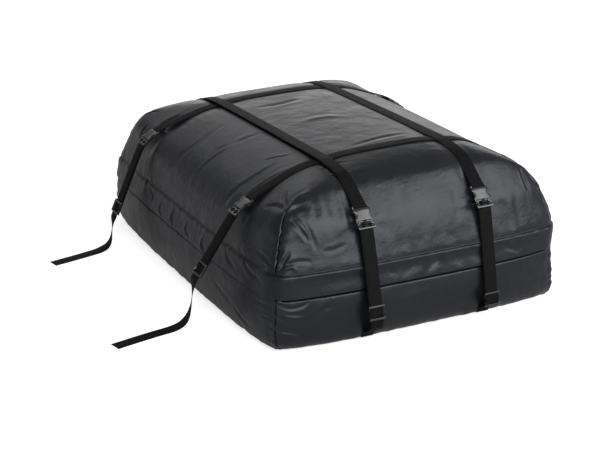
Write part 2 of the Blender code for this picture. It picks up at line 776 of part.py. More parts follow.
def tail(end, material, parent):
    _, middle, along, _ = loop_directions(end)
    leaves = middle + along * (GLIDE_LENGTH / 2 + PAST_ADJUSTER + MOULD_GAP)
    way = STRAP_ENDS[end][0]
    route = [(*leaves, 0), (*(leaves + along * TAIL_START), 0)]
    for out, y, height, turn in TAIL_ROUTES[end]:
        route.append((OUTWARD[way].x * (HALF_SIZE[way] + out), y, height, turn))
    start = Vector((0, OUTWARD[way].x, 0))
    points = [Vector(p[:3]) for p in route]
    across = []
    for k, spot in enumerate(route):
        along = points[min(k + 1, len(points) - 1)] - points[max(k - 1, 0)]
        flat = Vector((0, 0, 1)).cross(along).normalized()
        if spot[2] > LYING_FLAT:
            flat = Matrix.Rotation(radians(spot[3]), 3, "Z") @ start
        across.append(-flat if flat.dot(start) < 0 else flat)
    mesh = ribbon_mesh(end + "_tail", points, across)
    mesh.transform(parent.matrix_world.inverted())
    add_object(end + "_tail", mesh, material, parent)


def strap_hardware(plastic, webbing):
    socket, prong, glide = socket_mesh(), prong_mesh(), glide_mesh()
    for end in STRAP_ENDS:
        frame = as_matrix(*buckle_frame(end))
        release = add_axis(end + "_release_axis", frame)
        held = add_object(end + "_socket", socket, plastic)
        held.matrix_world = frame
        add_object(end + "_prong_half", prong, plastic, release)
        lower_strap(end, webbing, release)
        if end in TAIL_ROUTES:
            tail(end, webbing, release)
        _, middle, along, out = loop_directions(end)
        across = along.cross(out)
        adjust = add_axis(end + "_adjust_axis", as_matrix(middle, across, along, out), release)
        add_object(end + "_adjuster", glide, plastic, adjust)


# Zip sliders at the middle of the front

def front_middle(height):
    _, inset, _, _, end_bulge, _ = level_at(height)
    return Vector((0, inset - BAG_LENGTH / 2 - end_bulge, height))


def zip_frame(side):
    # On the wall's face at the zip's middle, x away from the front's middle, z outward
    low, high = front_middle(TUB_HEIGHT), front_middle(COVER_BOTTOM)
    along = Vector((side, 0, 0))
    up = (high - low).normalized()
    out = up.cross(Vector((-1, 0, 0)))
    return (low + high) / 2 + along * SLIDER_OFFSET, along, out.cross(along), out


def slider_mesh():
    # x along the zip, y up the wall, z outward, about the wall's outer face
    back = -(FABRIC + TAPE_GAP + TAPE_THICK)
    inner = back - SEAM_GAP
    outer = back + COIL_THICK + SEAM_GAP
    half_x, half_y = SLIDER_LENGTH / 2, SLIDER_HEIGHT / 2
    top = outer + PLATE_THICK
    post, half_bail = TAB_WIDTH / 2 + TAB_SLACK, BAIL_THICK / 2
    neck_x, neck_y = SLIDER_NECK[0] / 2, SLIDER_NECK[1] / 2
    bail_low, bail_high = top + BAIL_RISE - half_bail, top + BAIL_RISE + half_bail
    added = [
        ((-half_x, -half_y, inner - PLATE_THICK), (half_x, half_y, inner)),
        ((-half_x, -half_y, outer), (half_x, half_y, top)),
        ((-neck_x, -neck_y, inner - 0.0002), (neck_x, neck_y, outer + 0.0002)),
        ((-half_bail, -post - 0.0005, bail_low), (half_bail, post + 0.0005, bail_high)),
    ]
    for side in (-1, 1):
        low, high = sorted((side * post, side * (post + BAIL_THICK)))
        added.append(((-BAIL_THICK, low, top - 0.0002), (BAIL_THICK, high, bail_high)))
    return combined("zip_slider", added), top + BAIL_RISE


def tab_mesh():
    # About its hinge: y is the hinge's own line, and the tab lies along +x
    half = TAB_WIDTH / 2
    eye, hole = TAB_EYE, TAB_HOLE
    added = [
        ((-eye, -half, -eye), (eye, half, eye)),
        ((hole, -half, -TAB_THICK / 2), (TAB_LENGTH, half, TAB_THICK / 2)),
    ]
    removed = [((-hole, -TAB_WIDTH, -hole), (hole, TAB_WIDTH, hole))]
    return combined("pull_tab", added, removed)


def zip_sliders(metal):
    slider, bail = slider_mesh()
    tab = tab_mesh()
    for name, side in (("left", -1), ("right", 1)):
        place, *directions = zip_frame(side)
        axis = add_axis(name + "_slider_axis", as_matrix(place, *directions))
        add_object(name + "_zip_slider", slider, metal, axis)
        hinge_place = place + directions[2] * bail
        hinge = add_axis(name + "_tab_axis", as_matrix(hinge_place, *directions), axis)
        add_object(name + "_pull_tab", tab, metal, hinge)


def build():
    for item in list(bpy.data.objects):
        bpy.data.objects.remove(item)
    fabric = make_material("coated_fabric", (0.020, 0.021, 0.023), 0.42)
    webbing = make_material("webbing", (0.010, 0.010, 0.011), 0.70)
    plastic = make_material("buckle_plastic", (0.012, 0.012, 0.013), 0.30)
    zip_tape = make_material("zip_tape", (0.010, 0.010, 0.010), 0.60)
    metal = make_material("slider_metal", (0.030, 0.030, 0.032), 0.35)
    base_tub(fabric)
    top_cover(fabric)
    storm_flap(fabric)
    rear_hinge_strip(fabric)
    zip_halves(zip_tape)
    zip_sliders(metal)
    over_straps(webbing)
    strap_hardware(plastic, webbing)


build()
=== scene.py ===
# The dressed model of a soft rooftop cargo bag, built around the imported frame.

from math import cos, pi, radians, sin

import bmesh
import bpy
import numpy as np
from mathutils import Matrix, Vector, noise
from mathutils.bvhtree import BVHTree


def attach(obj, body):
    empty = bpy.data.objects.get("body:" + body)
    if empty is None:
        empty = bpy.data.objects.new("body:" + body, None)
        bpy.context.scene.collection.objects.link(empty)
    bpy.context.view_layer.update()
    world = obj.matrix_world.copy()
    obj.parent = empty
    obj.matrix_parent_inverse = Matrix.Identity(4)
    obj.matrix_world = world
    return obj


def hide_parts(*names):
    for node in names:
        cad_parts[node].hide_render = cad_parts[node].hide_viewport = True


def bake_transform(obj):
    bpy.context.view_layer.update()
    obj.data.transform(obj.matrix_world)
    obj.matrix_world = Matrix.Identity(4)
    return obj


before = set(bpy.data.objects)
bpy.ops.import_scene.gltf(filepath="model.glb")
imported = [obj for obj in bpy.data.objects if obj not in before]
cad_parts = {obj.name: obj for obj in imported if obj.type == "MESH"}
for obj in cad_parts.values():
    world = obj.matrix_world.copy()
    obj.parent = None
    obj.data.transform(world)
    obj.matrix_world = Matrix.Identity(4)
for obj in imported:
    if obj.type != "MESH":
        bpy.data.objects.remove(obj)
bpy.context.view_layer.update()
bpy.ops.object.select_all(action="DESELECT")


# Camera, as the photograph was taken
photoView = {
    "place": (-1.981, -3.778, 1.715),
    "azimuth": -26.70,
    "elevation": 20.86,
    "lens": 91.68,
    "sensor": 36.0,
    "pixels": (600, 450),
}


def cameraAxes():
    turn, rise = radians(photoView["azimuth"]), radians(photoView["elevation"])
    back = Vector((sin(turn) * cos(rise), -cos(turn) * cos(rise), sin(rise)))
    right = Vector((cos(turn), sin(turn), 0.0))
    return back, right, back.cross(right)


def makeCamera():
    back, _, _ = cameraAxes()
    lens = bpy.data.cameras.new("photoCamera")
    lens.lens = photoView["lens"]
    lens.sensor_width = photoView["sensor"]
    camera = bpy.data.objects.new("photoCamera", lens)
    bpy.context.scene.collection.objects.link(camera)
    camera.location = photoView["place"]
    camera.rotation_euler = back.to_track_quat("Z", "Y").to_euler()
    bpy.context.scene.camera = camera


def pixelRay(px, py):
    # The way from the camera through a place in the photograph
    back, right, up = cameraAxes()
    wide, high = photoView["pixels"]
    focal = photoView["lens"] / photoView["sensor"] * wide
    way = right * ((px - wide / 2) / focal) - up * ((py - high / 2) / focal) - back
    return Vector(photoView["place"]), way.normalized()


makeCamera()
print("camera placed")


# Materials

def sheetColour(code):
    # sRGB hex to the linear values that shaders take
    parts = [int(code[k:k + 2], 16) / 255 for k in (1, 3, 5)]
    return (*[c / 12.92 if c <= 0.04045 else ((c + 0.055) / 1.055) ** 2.4 for c in parts], 1.0)


def addNode(tree, kind, values=None, **settings):
    node = tree.nodes.new(kind)
    for name, value in settings.items():
        setattr(node, name, value)
    for name, value in (values or {}).items():
        if isinstance(value, bpy.types.NodeSocket):
            tree.links.new(value, node.inputs[name])
        else:
            node.inputs[name].default_value = value
    return node


def startMaterial(name, values):
    material = bpy.data.materials.new(name)
    material.use_nodes = True
    tree = material.node_tree
    shader = tree.nodes["Principled BSDF"]
    for socket, value in values.items():
        shader.inputs[socket].default_value = value
    return material, tree, shader


def noiseOn(tree, place, scale, detail=2.0, roughness=0.5):
    return addNode(tree, "ShaderNodeTexNoise",
                   {"Vector": place, "Scale": scale, "Detail": detail, "Roughness": roughness})


def rangeOf(tree, value, low, high, fromLow=0.3, fromHigh=0.7):
    return addNode(tree, "ShaderNodeMapRange",
                   {"Value": value, "From Min": fromLow, "From Max": fromHigh,
                    "To Min": low, "To Max": high}).outputs["Result"]


coatedFabric = {
    "colour": "#0f1014", "shade": "#0c0d10", "roughness": (0.30, 0.40), "specular": 0.25,
    "tint": "#f4f7ff",
    "crinkle": 26.0, "fine": 140.0, "weave": 0.0016,
}


def makeCoatedFabric(name, look):
    # Polyurethane-coated polyester cloth: black, satin, with soft broad highlights broken by
    # small crinkles, and a plain weave too fine to see, drawn at 1.6 mm
    material, tree, shader = startMaterial(name, {
        "Specular IOR Level": look["specular"], "Specular Tint": sheetColour(look["tint"]),
    })
    place = addNode(tree, "ShaderNodeTexCoord").outputs["Object"]
    cloudy = noiseOn(tree, place, 5.0, 3.0).outputs["Fac"]
    mix = addNode(tree, "ShaderNodeMix", data_type="RGBA")
    tree.links.new(rangeOf(tree, cloudy, 0.0, 1.0), mix.inputs["Factor"])
    mix.inputs["A"].default_value = sheetColour(look["shade"])
    mix.inputs["B"].default_value = sheetColour(look["colour"])
    tree.links.new(mix.outputs["Result"], shader.inputs["Base Color"])
    patchy = noiseOn(tree, place, 14.0, 3.0).outputs["Fac"]
    low, high = look["roughness"]
    tree.links.new(rangeOf(tree, patchy, low, high), shader.inputs["Roughness"])
    crinkle = noiseOn(tree, place, look["crinkle"], 3.0, 0.55).outputs["Fac"]
    soft = addNode(tree, "ShaderNodeBump",
                   {"Height": crinkle, "Strength": 0.35, "Distance": 0.006})
    fine = noiseOn(tree, place, look["fine"], 2.0).outputs["Fac"]
    small = addNode(tree, "ShaderNodeBump",
                    {"Height": fine, "Strength": 0.12, "Distance": 0.0015,
                     "Normal": soft.outputs["Normal"]})
    across = addNode(tree, "ShaderNodeTexWave",
                     {"Vector": place, "Scale": 1 / look["weave"] / (2 * pi), "Distortion": 0.0},
                     wave_type="BANDS", bands_direction="DIAGONAL")
    weave = addNode(tree, "ShaderNodeBump",
                    {"Height": across.outputs["Fac"], "Strength": 0.05, "Distance": 0.0002,
                     "Normal": small.outputs["Normal"]})
    tree.links.new(weave.outputs["Normal"], shader.inputs["Normal"])
    return material


# The paler second colour is a painted highlight on the raised ribs
webbingLook = {"colour": "#070708", "edge": "#0e0e0f", "roughness": 0.60, "rib": 0.0022}


def makeWebbing(name, look):
    # Woven polypropylene webbing: matt black, ribs of chevrons along it, and a painted highlight:
    # the colour is slightly paler where the raised ribs and the thick edge cords catch the light
    material, tree, shader = startMaterial(name, {
        "Roughness": look["roughness"], "Specular IOR Level": 0.05,
    })
    place = addNode(tree, "ShaderNodeTexCoord").outputs["UV"]
    split = addNode(tree, "ShaderNodeSeparateXYZ", {"Vector": place})
    period = 2 * pi / look["rib"]
    ribs = addNode(tree, "ShaderNodeMath", {0: split.outputs["X"], 1: period},
                   operation="MULTIPLY")
    ribWave = addNode(tree, "ShaderNodeMath", {0: ribs.outputs[0]}, operation="SINE")
    lean = addNode(tree, "ShaderNodeMath", {0: ribWave.outputs[0], 1: 1.2}, operation="MULTIPLY")
    along = addNode(tree, "ShaderNodeMath", {0: split.outputs["Y"], 1: period},
                    operation="MULTIPLY")
    phase = addNode(tree, "ShaderNodeMath", {0: along.outputs[0], 1: lean.outputs[0]},
                    operation="ADD")
    chevron = addNode(tree, "ShaderNodeMath", {0: phase.outputs[0]}, operation="SINE")
    height = addNode(tree, "ShaderNodeMath",
                     {0: chevron.outputs[0], 1: 0.6, 2: ribWave.outputs[0]},
                     operation="MULTIPLY_ADD")
    bump = addNode(tree, "ShaderNodeBump",
                   {"Height": height.outputs[0], "Strength": 0.5, "Distance": 0.0003})
    tree.links.new(bump.outputs["Normal"], shader.inputs["Normal"])
    # Painted highlight: the higher the rib, the paler the colour
    mix = addNode(tree, "ShaderNodeMix", data_type="RGBA")
    tree.links.new(rangeOf(tree, height.outputs[0], 0.0, 1.0, -1.2, 1.4), mix.inputs["Factor"])
    mix.inputs["A"].default_value = sheetColour(look["colour"])
    mix.inputs["B"].default_value = sheetColour(look["edge"])
    tree.links.new(mix.outputs["Result"], shader.inputs["Base Color"])
    return material


acetalLook = {"colour": "#101113", "roughness": (0.20, 0.28)}


def makeAcetal(name, look):
    # Injection-moulded acetal: black, smooth, a soft sheen with a faint spark-eroded grain
    material, tree, shader = startMaterial(name, {"Specular IOR Level": 0.5, "IOR": 1.48})
    shader.inputs["Base Color"].default_value = sheetColour(look["colour"])
    place = addNode(tree, "ShaderNodeTexCoord").outputs["Object"]
    grain = noiseOn(tree, place, 900.0, 1.0).outputs["Fac"]
    bump = addNode(tree, "ShaderNodeBump",
                   {"Height": grain, "Strength": 0.08, "Distance": 0.0002})
    tree.links.new(bump.outputs["Normal"], shader.inputs["Normal"])
    wear = noiseOn(tree, place, 60.0, 2.0).outputs["Fac"]
    low, high = look["roughness"]
    tree.links.new(rangeOf(tree, wear, low, high), shader.inputs["Roughness"])
    return material


def makeZipTape(name):
    # Woven polyester tape with a nylon coil, matt black
    material, tree, shader = startMaterial(name, {"Roughness": 0.6, "Specular IOR Level": 0.3})
    place = addNode(tree, "ShaderNodeTexCoord").outputs["Object"]
    twill = addNode(tree, "ShaderNodeTexWave",
                    {"Vector": place, "Scale": 120.0, "Distortion": 1.0},
                    wave_type="BANDS", bands_direction="DIAGONAL")
    tree.links.new(addNode(tree, "ShaderNodeBump",
                           {"Height": twill.outputs["Fac"], "Strength": 0.3,
                            "Distance": 0.0003}).outputs["Normal"], shader.inputs["Normal"])
    shader.inputs["Base Color"].default_value = sheetColour("#161617")
    return material


def makeEnamel(name):
    # Zinc casting with black baked enamel: glossy, a little orange peel
    material, tree, shader = startMaterial(name, {"Roughness": 0.28, "Coat Weight": 0.4})
    place = addNode(tree, "ShaderNodeTexCoord").outputs["Object"]
    peel = noiseOn(tree, place, 400.0, 1.0).outputs["Fac"]
    tree.links.new(addNode(tree, "ShaderNodeBump",
                           {"Height": peel, "Strength": 0.1,
                            "Distance": 0.0002}).outputs["Normal"], shader.inputs["Normal"])
    shader.inputs["Base Color"].default_value = sheetColour("#1c1c1e")
    return material


def makeThread(name):
    # Bonded polyester sewing thread, black, with a slight shine along its twist
    material, tree, shader = startMaterial(name, {"Roughness": 0.42, "Specular IOR Level": 0.4})
    place = addNode(tree, "ShaderNodeTexCoord").outputs["Object"]
    twist = noiseOn(tree, place, 700.0, 1.0).outputs["Fac"]
    tree.links.new(addNode(tree, "ShaderNodeBump",
                           {"Height": twist, "Strength": 0.3,
                            "Distance": 0.0002}).outputs["Normal"], shader.inputs["Normal"])
    shader.inputs["Base Color"].default_value = sheetColour("#16171a")
    return material


fabric = makeCoatedFabric("coatedPolyester", coatedFabric)
webbing = makeWebbing("polypropyleneWebbing", webbingLook)
acetal = makeAcetal("mouldedAcetal", acetalLook)
zipTape = makeZipTape("polyesterZipTape")
enamel = makeEnamel("enamelledZinc")
thread = makeThread("bondedThread")
print("materials made")


# The bag's form, close to the frame's solids, in metres. Each wall level gives its height, the
# inset of the corner, the corner radius, how far the middle of a long side and of a short end
# bulges, and how much less the right is filled
bagForm = {
    "width": 0.864, "length": 1.118, "tubTop": 0.192, "underFlap": 0.1500, "coverBottom": 0.214,
    "shoulder": 0.345, "crownRise": 0.098, "leanRight": 0.030, "leanFront": 0.035,
    "powerAcross": 2.6, "powerAlong": 7.0, "lengthStrapX": 0.180, "crossStrapY": 0.333,
    "grooveFloor": 0.025, "grooveEdge": 0.050, "lengthGroove": 0.005,
    "frontCrossGroove": 0.003, "rearCrossGroove": 0.012,
}
wallLevels = (
    (0.0000, 0.0130, 0.045, 0.022, 0.022, 0.004),
    (0.0077, -0.0030, 0.045, 0.024, 0.026, 0.010),
    (0.0307, -0.0130, 0.042, 0.027, 0.031, 0.018),
    (0.0691, -0.0165, 0.040, 0.031, 0.034, 0.026),
    (0.1152, -0.0155, 0.040, 0.031, 0.034, 0.028),
    (0.1594, -0.0105, 0.040, 0.022, 0.028, 0.022),
    (0.1920, -0.0050, 0.038, 0.011, 0.021, 0.012),
    (0.2140, -0.0050, 0.036, 0.013, 0.031, 0.008),
    (0.2500, 0.0050, 0.040, 0.018, 0.0285, 0.000),
    (0.2900, 0.0185, 0.044, 0.022, 0.0265, 0.000),
    (0.3221, 0.0275, 0.050, 0.009, 0.024, 0.000),
    (0.3450, 0.0390, 0.058, -0.010, 0.014, 0.000),
)
outward = {
    "front": Vector((0, -1, 0)), "right": Vector((1, 0, 0)),
    "rear": Vector((0, 1, 0)), "left": Vector((-1, 0, 0)),
}
sides = ("front", "right", "rear", "left")
fabricGrid = {"step": 0.0095, "cornerSteps": 4, "ringStep": 0.0090, "thick": 0.0010}


def levelAt(height):
    # A smooth curve through the levels
    heights = [row[0] for row in wallLevels]
    k = 0
    while k < len(heights) - 2 and height > heights[k + 1]:
        k += 1
    span = heights[k + 1] - heights[k]
    t = min(max((height - heights[k]) / span, 0.0), 1.0)
    values = []
    for c in range(1, 6):
        a, b = wallLevels[k][c], wallLevels[k + 1][c]
        before = wallLevels[max(k - 1, 0)]
        after = wallLevels[min(k + 2, len(wallLevels) - 1)]
        slopeA = (b - before[c]) / max(heights[k + 1] - before[0], 1e-6) * span
        slopeB = (after[c] - a) / max(after[0] - heights[k], 1e-6) * span
        values.append((2 * t ** 3 - 3 * t ** 2 + 1) * a + (t ** 3 - 2 * t ** 2 + t) * slopeA
                      + (3 * t ** 2 - 2 * t ** 3) * b + (t ** 3 - t ** 2) * slopeB)
    return values


def sideStations(way, step, cornerSteps):
    # Share of the straight part, and the angle into the corner, from one corner's middle
    # to just before the next one's
    half = (bagForm["width"] if way in ("front", "rear") else bagForm["length"]) / 2
    count = round(2 * half / step)
    angles = [radians(45) * k / cornerSteps for k in range(cornerSteps, 0, -1)]
    start = [(way, -1.0, -angle) for angle in angles]
    middle = [(way, 2 * k / count - 1, 0.0) for k in range(count + 1)]
    end = [(way, 1.0, angle) for angle in reversed(angles[1:])]
    return start + middle + end


def grooveShare(off):
    edge, floor = bagForm["grooveEdge"], bagForm["grooveFloor"]
    t = min(max((edge - off) / (edge - floor), 0.0), 1.0)
    return t * t * (3 - 2 * t)


def crossGroove(y):
    return bagForm["frontCrossGroove"] if y < 0 else bagForm["rearCrossGroove"]


def wallPoint(station, height, standOff=0.0):
    way, share, angle = station
    inset, radius, sideBulge, endBulge, slack = levelAt(height)
    halfX, halfY = bagForm["width"] / 2 - inset, bagForm["length"] / 2 - inset
    onEnd = way in ("front", "rear")
    half, other, bulge = (halfX, halfY, endBulge) if onEnd else (halfY, halfX, sideBulge)
    turn = Vector((0, 0, 1)).cross(outward[way])
    along = share * (half - radius) + radius * sin(angle)
    depth = radius * (1 - cos(angle))
    spot = turn * along
    if onEnd:
        dent = bagForm["lengthGroove"] * grooveShare(abs(abs(along) - bagForm["lengthStrapX"]))
    else:
        dent = crossGroove(spot.y) * grooveShare(abs(abs(along) - bagForm["crossStrapY"]))
    dent *= min(max((height - 0.250) / 0.080, 0.0), 1.0)
    out = other - depth + bulge * (1 - min(abs(along) / half, 1.0) ** 4)
    spot += outward[way] * (out + standOff * cos(angle) - dent) + turn * standOff * sin(angle)
    spot.x -= slack * max(spot.x, 0.0) / halfX
    spot.z = height
    return spot


def crownHeight(x, y):
    inset, _, sideBulge, endBulge, _ = levelAt(bagForm["shoulder"])
    halfX, halfY = bagForm["width"] / 2 - inset, bagForm["length"] / 2 - inset
    across = abs(x) / (halfX + sideBulge * (1 - min(abs(y) / halfY, 1) ** 4))
    along = abs(y) / (halfY + endBulge * (1 - min(abs(x) / halfX, 1) ** 4))
    falls = (1 - across ** bagForm["powerAcross"], 1 - along ** bagForm["powerAlong"])
    share = sum(max(fall, 0.001) ** -4 for fall in falls) ** -0.25
    rise = bagForm["crownRise"] + bagForm["leanRight"] * x - bagForm["leanFront"] * y
    dent = (bagForm["lengthGroove"] * grooveShare(abs(abs(x) - bagForm["lengthStrapX"]))
            * (0.25 + 0.75 * along ** 2))
    dent += (crossGroove(y) * grooveShare(abs(abs(y) - bagForm["crossStrapY"]))
             * (0.2 + 0.8 * across ** 3))
    return bagForm["shoulder"] + rise * share - dent


def newMesh(name, points, faces, material):
    mesh = bpy.data.meshes.new(name)
    mesh.from_pydata([tuple(p) for p in points], [], faces)
    mesh.validate()
    mesh.materials.append(material)
    piece = bpy.data.objects.new(name, mesh)
    bpy.context.scene.collection.objects.link(piece)
    return piece


def activate(piece):
    bpy.ops.object.select_all(action="DESELECT")
    piece.select_set(True)
    bpy.context.view_layer.objects.active = piece


def applyModifier(piece, kind, **settings):
    activate(piece)
    modifier = piece.modifiers.new(kind.title(), kind)
    for name, value in settings.items():
        setattr(modifier, name, value)
    bpy.ops.object.modifier_apply(modifier=modifier.name)


def smoothShade(piece, angle=40):
    activate(piece)
    bpy.ops.object.shade_smooth_by_angle(angle=radians(angle))


def allStations():
    grid = fabricGrid
    return [s for way in sides for s in sideStations(way, grid["step"], grid["cornerSteps"])]


def ringHeights(low, high):
    count = round((high - low) / fabricGrid["ringStep"])
    return [low + (high - low) * k / count for k in range(count + 1)]


def wallFaces(rings, count):
    return [(k * count + i, k * count + (i + 1) % count,
             (k + 1) * count + (i + 1) % count, (k + 1) * count + i)
            for k in range(rings - 1) for i in range(count)]


def coverShape():
    stations = allStations()
    count = len(stations)
    heights = ringHeights(bagForm["coverBottom"], bagForm["shoulder"])
    points = [wallPoint(s, h) for h in heights for s in stations]
    faces = wallFaces(len(heights), count)
    grid = fabricGrid
    columns = len(sideStations("front", grid["step"], grid["cornerSteps"])) + 1
    rows = len(sideStations("right", grid["step"], grid["cornerSteps"])) + 1
    first = len(points) - count
    top = points[first:]
    spots = {}
    for i in range(columns):
        spots[i, 0] = first + i
        spots[i, rows - 1] = first + 2 * (columns - 1) + (rows - 1) - i
    for j in range(1, rows - 1):
        spots[columns - 1, j] = first + columns - 1 + j
        spots[0, j] = first + count - j
    for i in range(1, columns - 1):
        for j in range(1, rows - 1):
            x, y = top[i].x, top[columns - 1 + j].y
            spots[i, j] = len(points)
            points.append(Vector((x, y, crownHeight(x, y))))
    for i in range(columns - 1):
        for j in range(rows - 1):
            faces.append((spots[i, j], spots[i + 1, j], spots[i + 1, j + 1], spots[i, j + 1]))
    return points, faces


def tubShape():
    stations = allStations()
    heights = [0.0, 0.003] + ringHeights(0.0077, bagForm["tubTop"])
    points = [wallPoint(s, h) for h in heights for s in stations]
    return points, wallFaces(len(heights), len(stations))


# Darts: the sewn lines that turn the cover's corners, from the seam upwards
darts = {
    "nearLeft": ((-0.425, -0.549, 0.216), (-0.408, -0.532, 0.259), (-0.391, -0.515, 0.299),
                 (-0.374, -0.498, 0.332), (-0.358, -0.482, 0.357)),
    "nearRight": ((0.418, -0.542, 0.213), (0.417, -0.541, 0.232), (0.411, -0.535, 0.276),
                  (0.396, -0.520, 0.323), (0.370, -0.494, 0.362)),
    "farLeft": ((-0.422, 0.546, 0.213), (-0.410, 0.534, 0.262), (-0.394, 0.518, 0.314),
                (-0.370, 0.494, 0.352), (-0.333, 0.457, 0.381)),
    "farRight": ((0.422, 0.546, 0.213), (0.410, 0.534, 0.262), (0.394, 0.518, 0.314),
                 (0.370, 0.494, 0.352), (0.345, 0.470, 0.375)),
}


def pointsOf(piece):
    mesh = piece.data
    flat = np.empty(len(mesh.vertices) * 3)
    mesh.vertices.foreach_get("co", flat)
    return flat.reshape(-1, 3)


def normalsOf(piece):
    mesh = piece.data
    flat = np.empty(len(mesh.vertices) * 3)
    mesh.vertices.foreach_get("normal", flat)
    return flat.reshape(-1, 3)


def movePoints(piece, places):
    piece.data.vertices.foreach_set("co", np.asarray(places, float).ravel())
    piece.data.update()


def nearLine(places, line):
    # Distance to the nearest part of a line of points, and how far along it that is, 0 to 1
    line = np.asarray(line, float)
    best = np.full(len(places), 9.0)
    share = np.zeros(len(places))
    steps = np.linalg.norm(np.diff(line, axis=0), axis=1)
    done, total = 0.0, steps.sum()
    for a, b, size in zip(line, line[1:], steps):
        way = (b - a) / size
        t = np.clip((places - a) @ way, 0, size)
        gap = np.linalg.norm(places - (a + t[:, None] * way), axis=1)
        closer = gap < best
        best[closer] = gap[closer]
        share[closer] = ((done + t) / total)[closer]
        done += size
    return best, share


# Filling by cloth simulation. Each pair is where the cloth goes from held to free: by height
# at the seam and the foot, by distance from darts, corners and straps. Between the calm
# heights the bulge changes between its least share of the cap and all of it
coverWork = {
    "pressure": 5.0, "frames": 22, "shrink": 0.003, "bend": 5.0, "cap": 0.011,
    "seam": (0.2145, 0.224), "sewn": (0.004, 0.012), "calm": (0.225, 0.300), "least": 0.15,
    "strap": (0.017, 0.030),
}
tubWork = {
    **coverWork, "pressure": 4.0, "cap": 0.009, "foot": (0.004, 0.014),
    "seam": (0.180, 0.190), "calm": (0.100, 0.140), "least": 0.12,
    "cornerHeights": (0.01, 0.06, 0.12, 0.19),
}


def simulateFabric(piece, pinned, room, work):
    # Filled cloth, held along its seams and under the straps; room is how much of the cap
    # each point may use
    activate(piece)
    before = pointsOf(piece)
    group = piece.vertex_groups.new(name="sewn")
    for index, weight in enumerate(pinned):
        if weight > 0.01:
            group.add([index], float(weight), "REPLACE")
    cloth = piece.modifiers.new("Cloth", "CLOTH")
    settings = cloth.settings
    settings.quality = 5
    settings.mass = 0.25
    settings.tension_stiffness = 25
    settings.compression_stiffness = 25
    settings.shear_stiffness = 8
    settings.bending_stiffness = work["bend"]
    settings.use_pressure = True
    settings.uniform_pressure_force = work["pressure"]
    settings.vertex_group_mass = "sewn"
    settings.pin_stiffness = 1.0
    settings.shrink_min = work["shrink"]
    settings.effector_weights.gravity = 0.0
    cloth.collision_settings.use_collision = False
    cloth.point_cache.frame_start = 1
    cloth.point_cache.frame_end = work["frames"]
    scene = bpy.context.scene
    for step in range(1, work["frames"] + 1):
        scene.frame_set(step)
    bpy.ops.object.modifier_apply(modifier=cloth.name)
    scene.frame_set(1)
    moved = pointsOf(piece) - before
    size = np.linalg.norm(moved, axis=1)
    keep = np.tanh(size / work["cap"]) * work["cap"] / np.maximum(size, 1e-9) * room
    movePoints(piece, before + moved * keep[:, None])
    mean, most = round(float(size.mean()), 4), round(float(size.max()), 4)
    print("  moved", mean, "on average,", most, "at most")


def easeOut(value, full, none):
    t = np.clip((none - value) / (none - full), 0, 1)
    return t * t * (3 - 2 * t)


def strapPins(places):
    # Cloth under the taut straps stays in its groove
    x, y, z = places.T
    lengthwise = easeOut(np.abs(np.abs(x) - bagForm["lengthStrapX"]), *coverWork["strap"])
    crosswise = easeOut(np.abs(np.abs(y) - bagForm["crossStrapY"]), *coverWork["strap"])
    return np.maximum(lengthwise, crosswise) * np.clip((z - 0.315) / 0.02, 0, 1)


def makeCover():
    points, faces = coverShape()
    piece = newMesh("coverFabric", points, faces, fabric)
    places, work = pointsOf(piece), coverWork
    z = places[:, 2]
    pinned = np.maximum(strapPins(places), easeOut(z, *work["seam"]))
    for line in darts.values():
        gap, share = nearLine(places, line)
        pinned = np.maximum(pinned, easeOut(gap, *work["sewn"]) * easeOut(share, 0.8, 1.0))
    room = work["least"] + (1 - work["least"]) * (1 - easeOut(z, *work["calm"]))
    simulateFabric(piece, pinned, room, work)
    applyModifier(piece, "SUBSURF", levels=1, render_levels=1)
    return piece


def cornerStation(way, end):
    # The middle of one of the four corners: -1 or 1 for left or right, and front or rear
    side = "front" if end < 0 else "rear"
    turn = -1.0 if way * end > 0 else 1.0
    return side, turn, radians(45 * turn)


def makeTub():
    points, faces = tubShape()
    piece = newMesh("tubFabric", points, faces, fabric)
    places, work = pointsOf(piece), tubWork
    z = places[:, 2]
    pinned = np.maximum(easeOut(z, *work["foot"]), 1 - easeOut(z, *work["seam"]))
    for way in (-1, 1):
        for end in (-1, 1):
            station = cornerStation(way, end)
            corner = [tuple(wallPoint(station, height)) for height in work["cornerHeights"]]
            gap, _ = nearLine(places, corner)
            pinned = np.maximum(pinned, easeOut(gap, *work["sewn"]))
    room = work["least"] + (1 - work["least"]) * easeOut(z, *work["calm"])
    simulateFabric(piece, pinned, room, work)
    applyModifier(piece, "SUBSURF", levels=1, render_levels=1)
    return piece


cover = makeCover()
print("cover made")
tub = makeTub()
print("tub made")

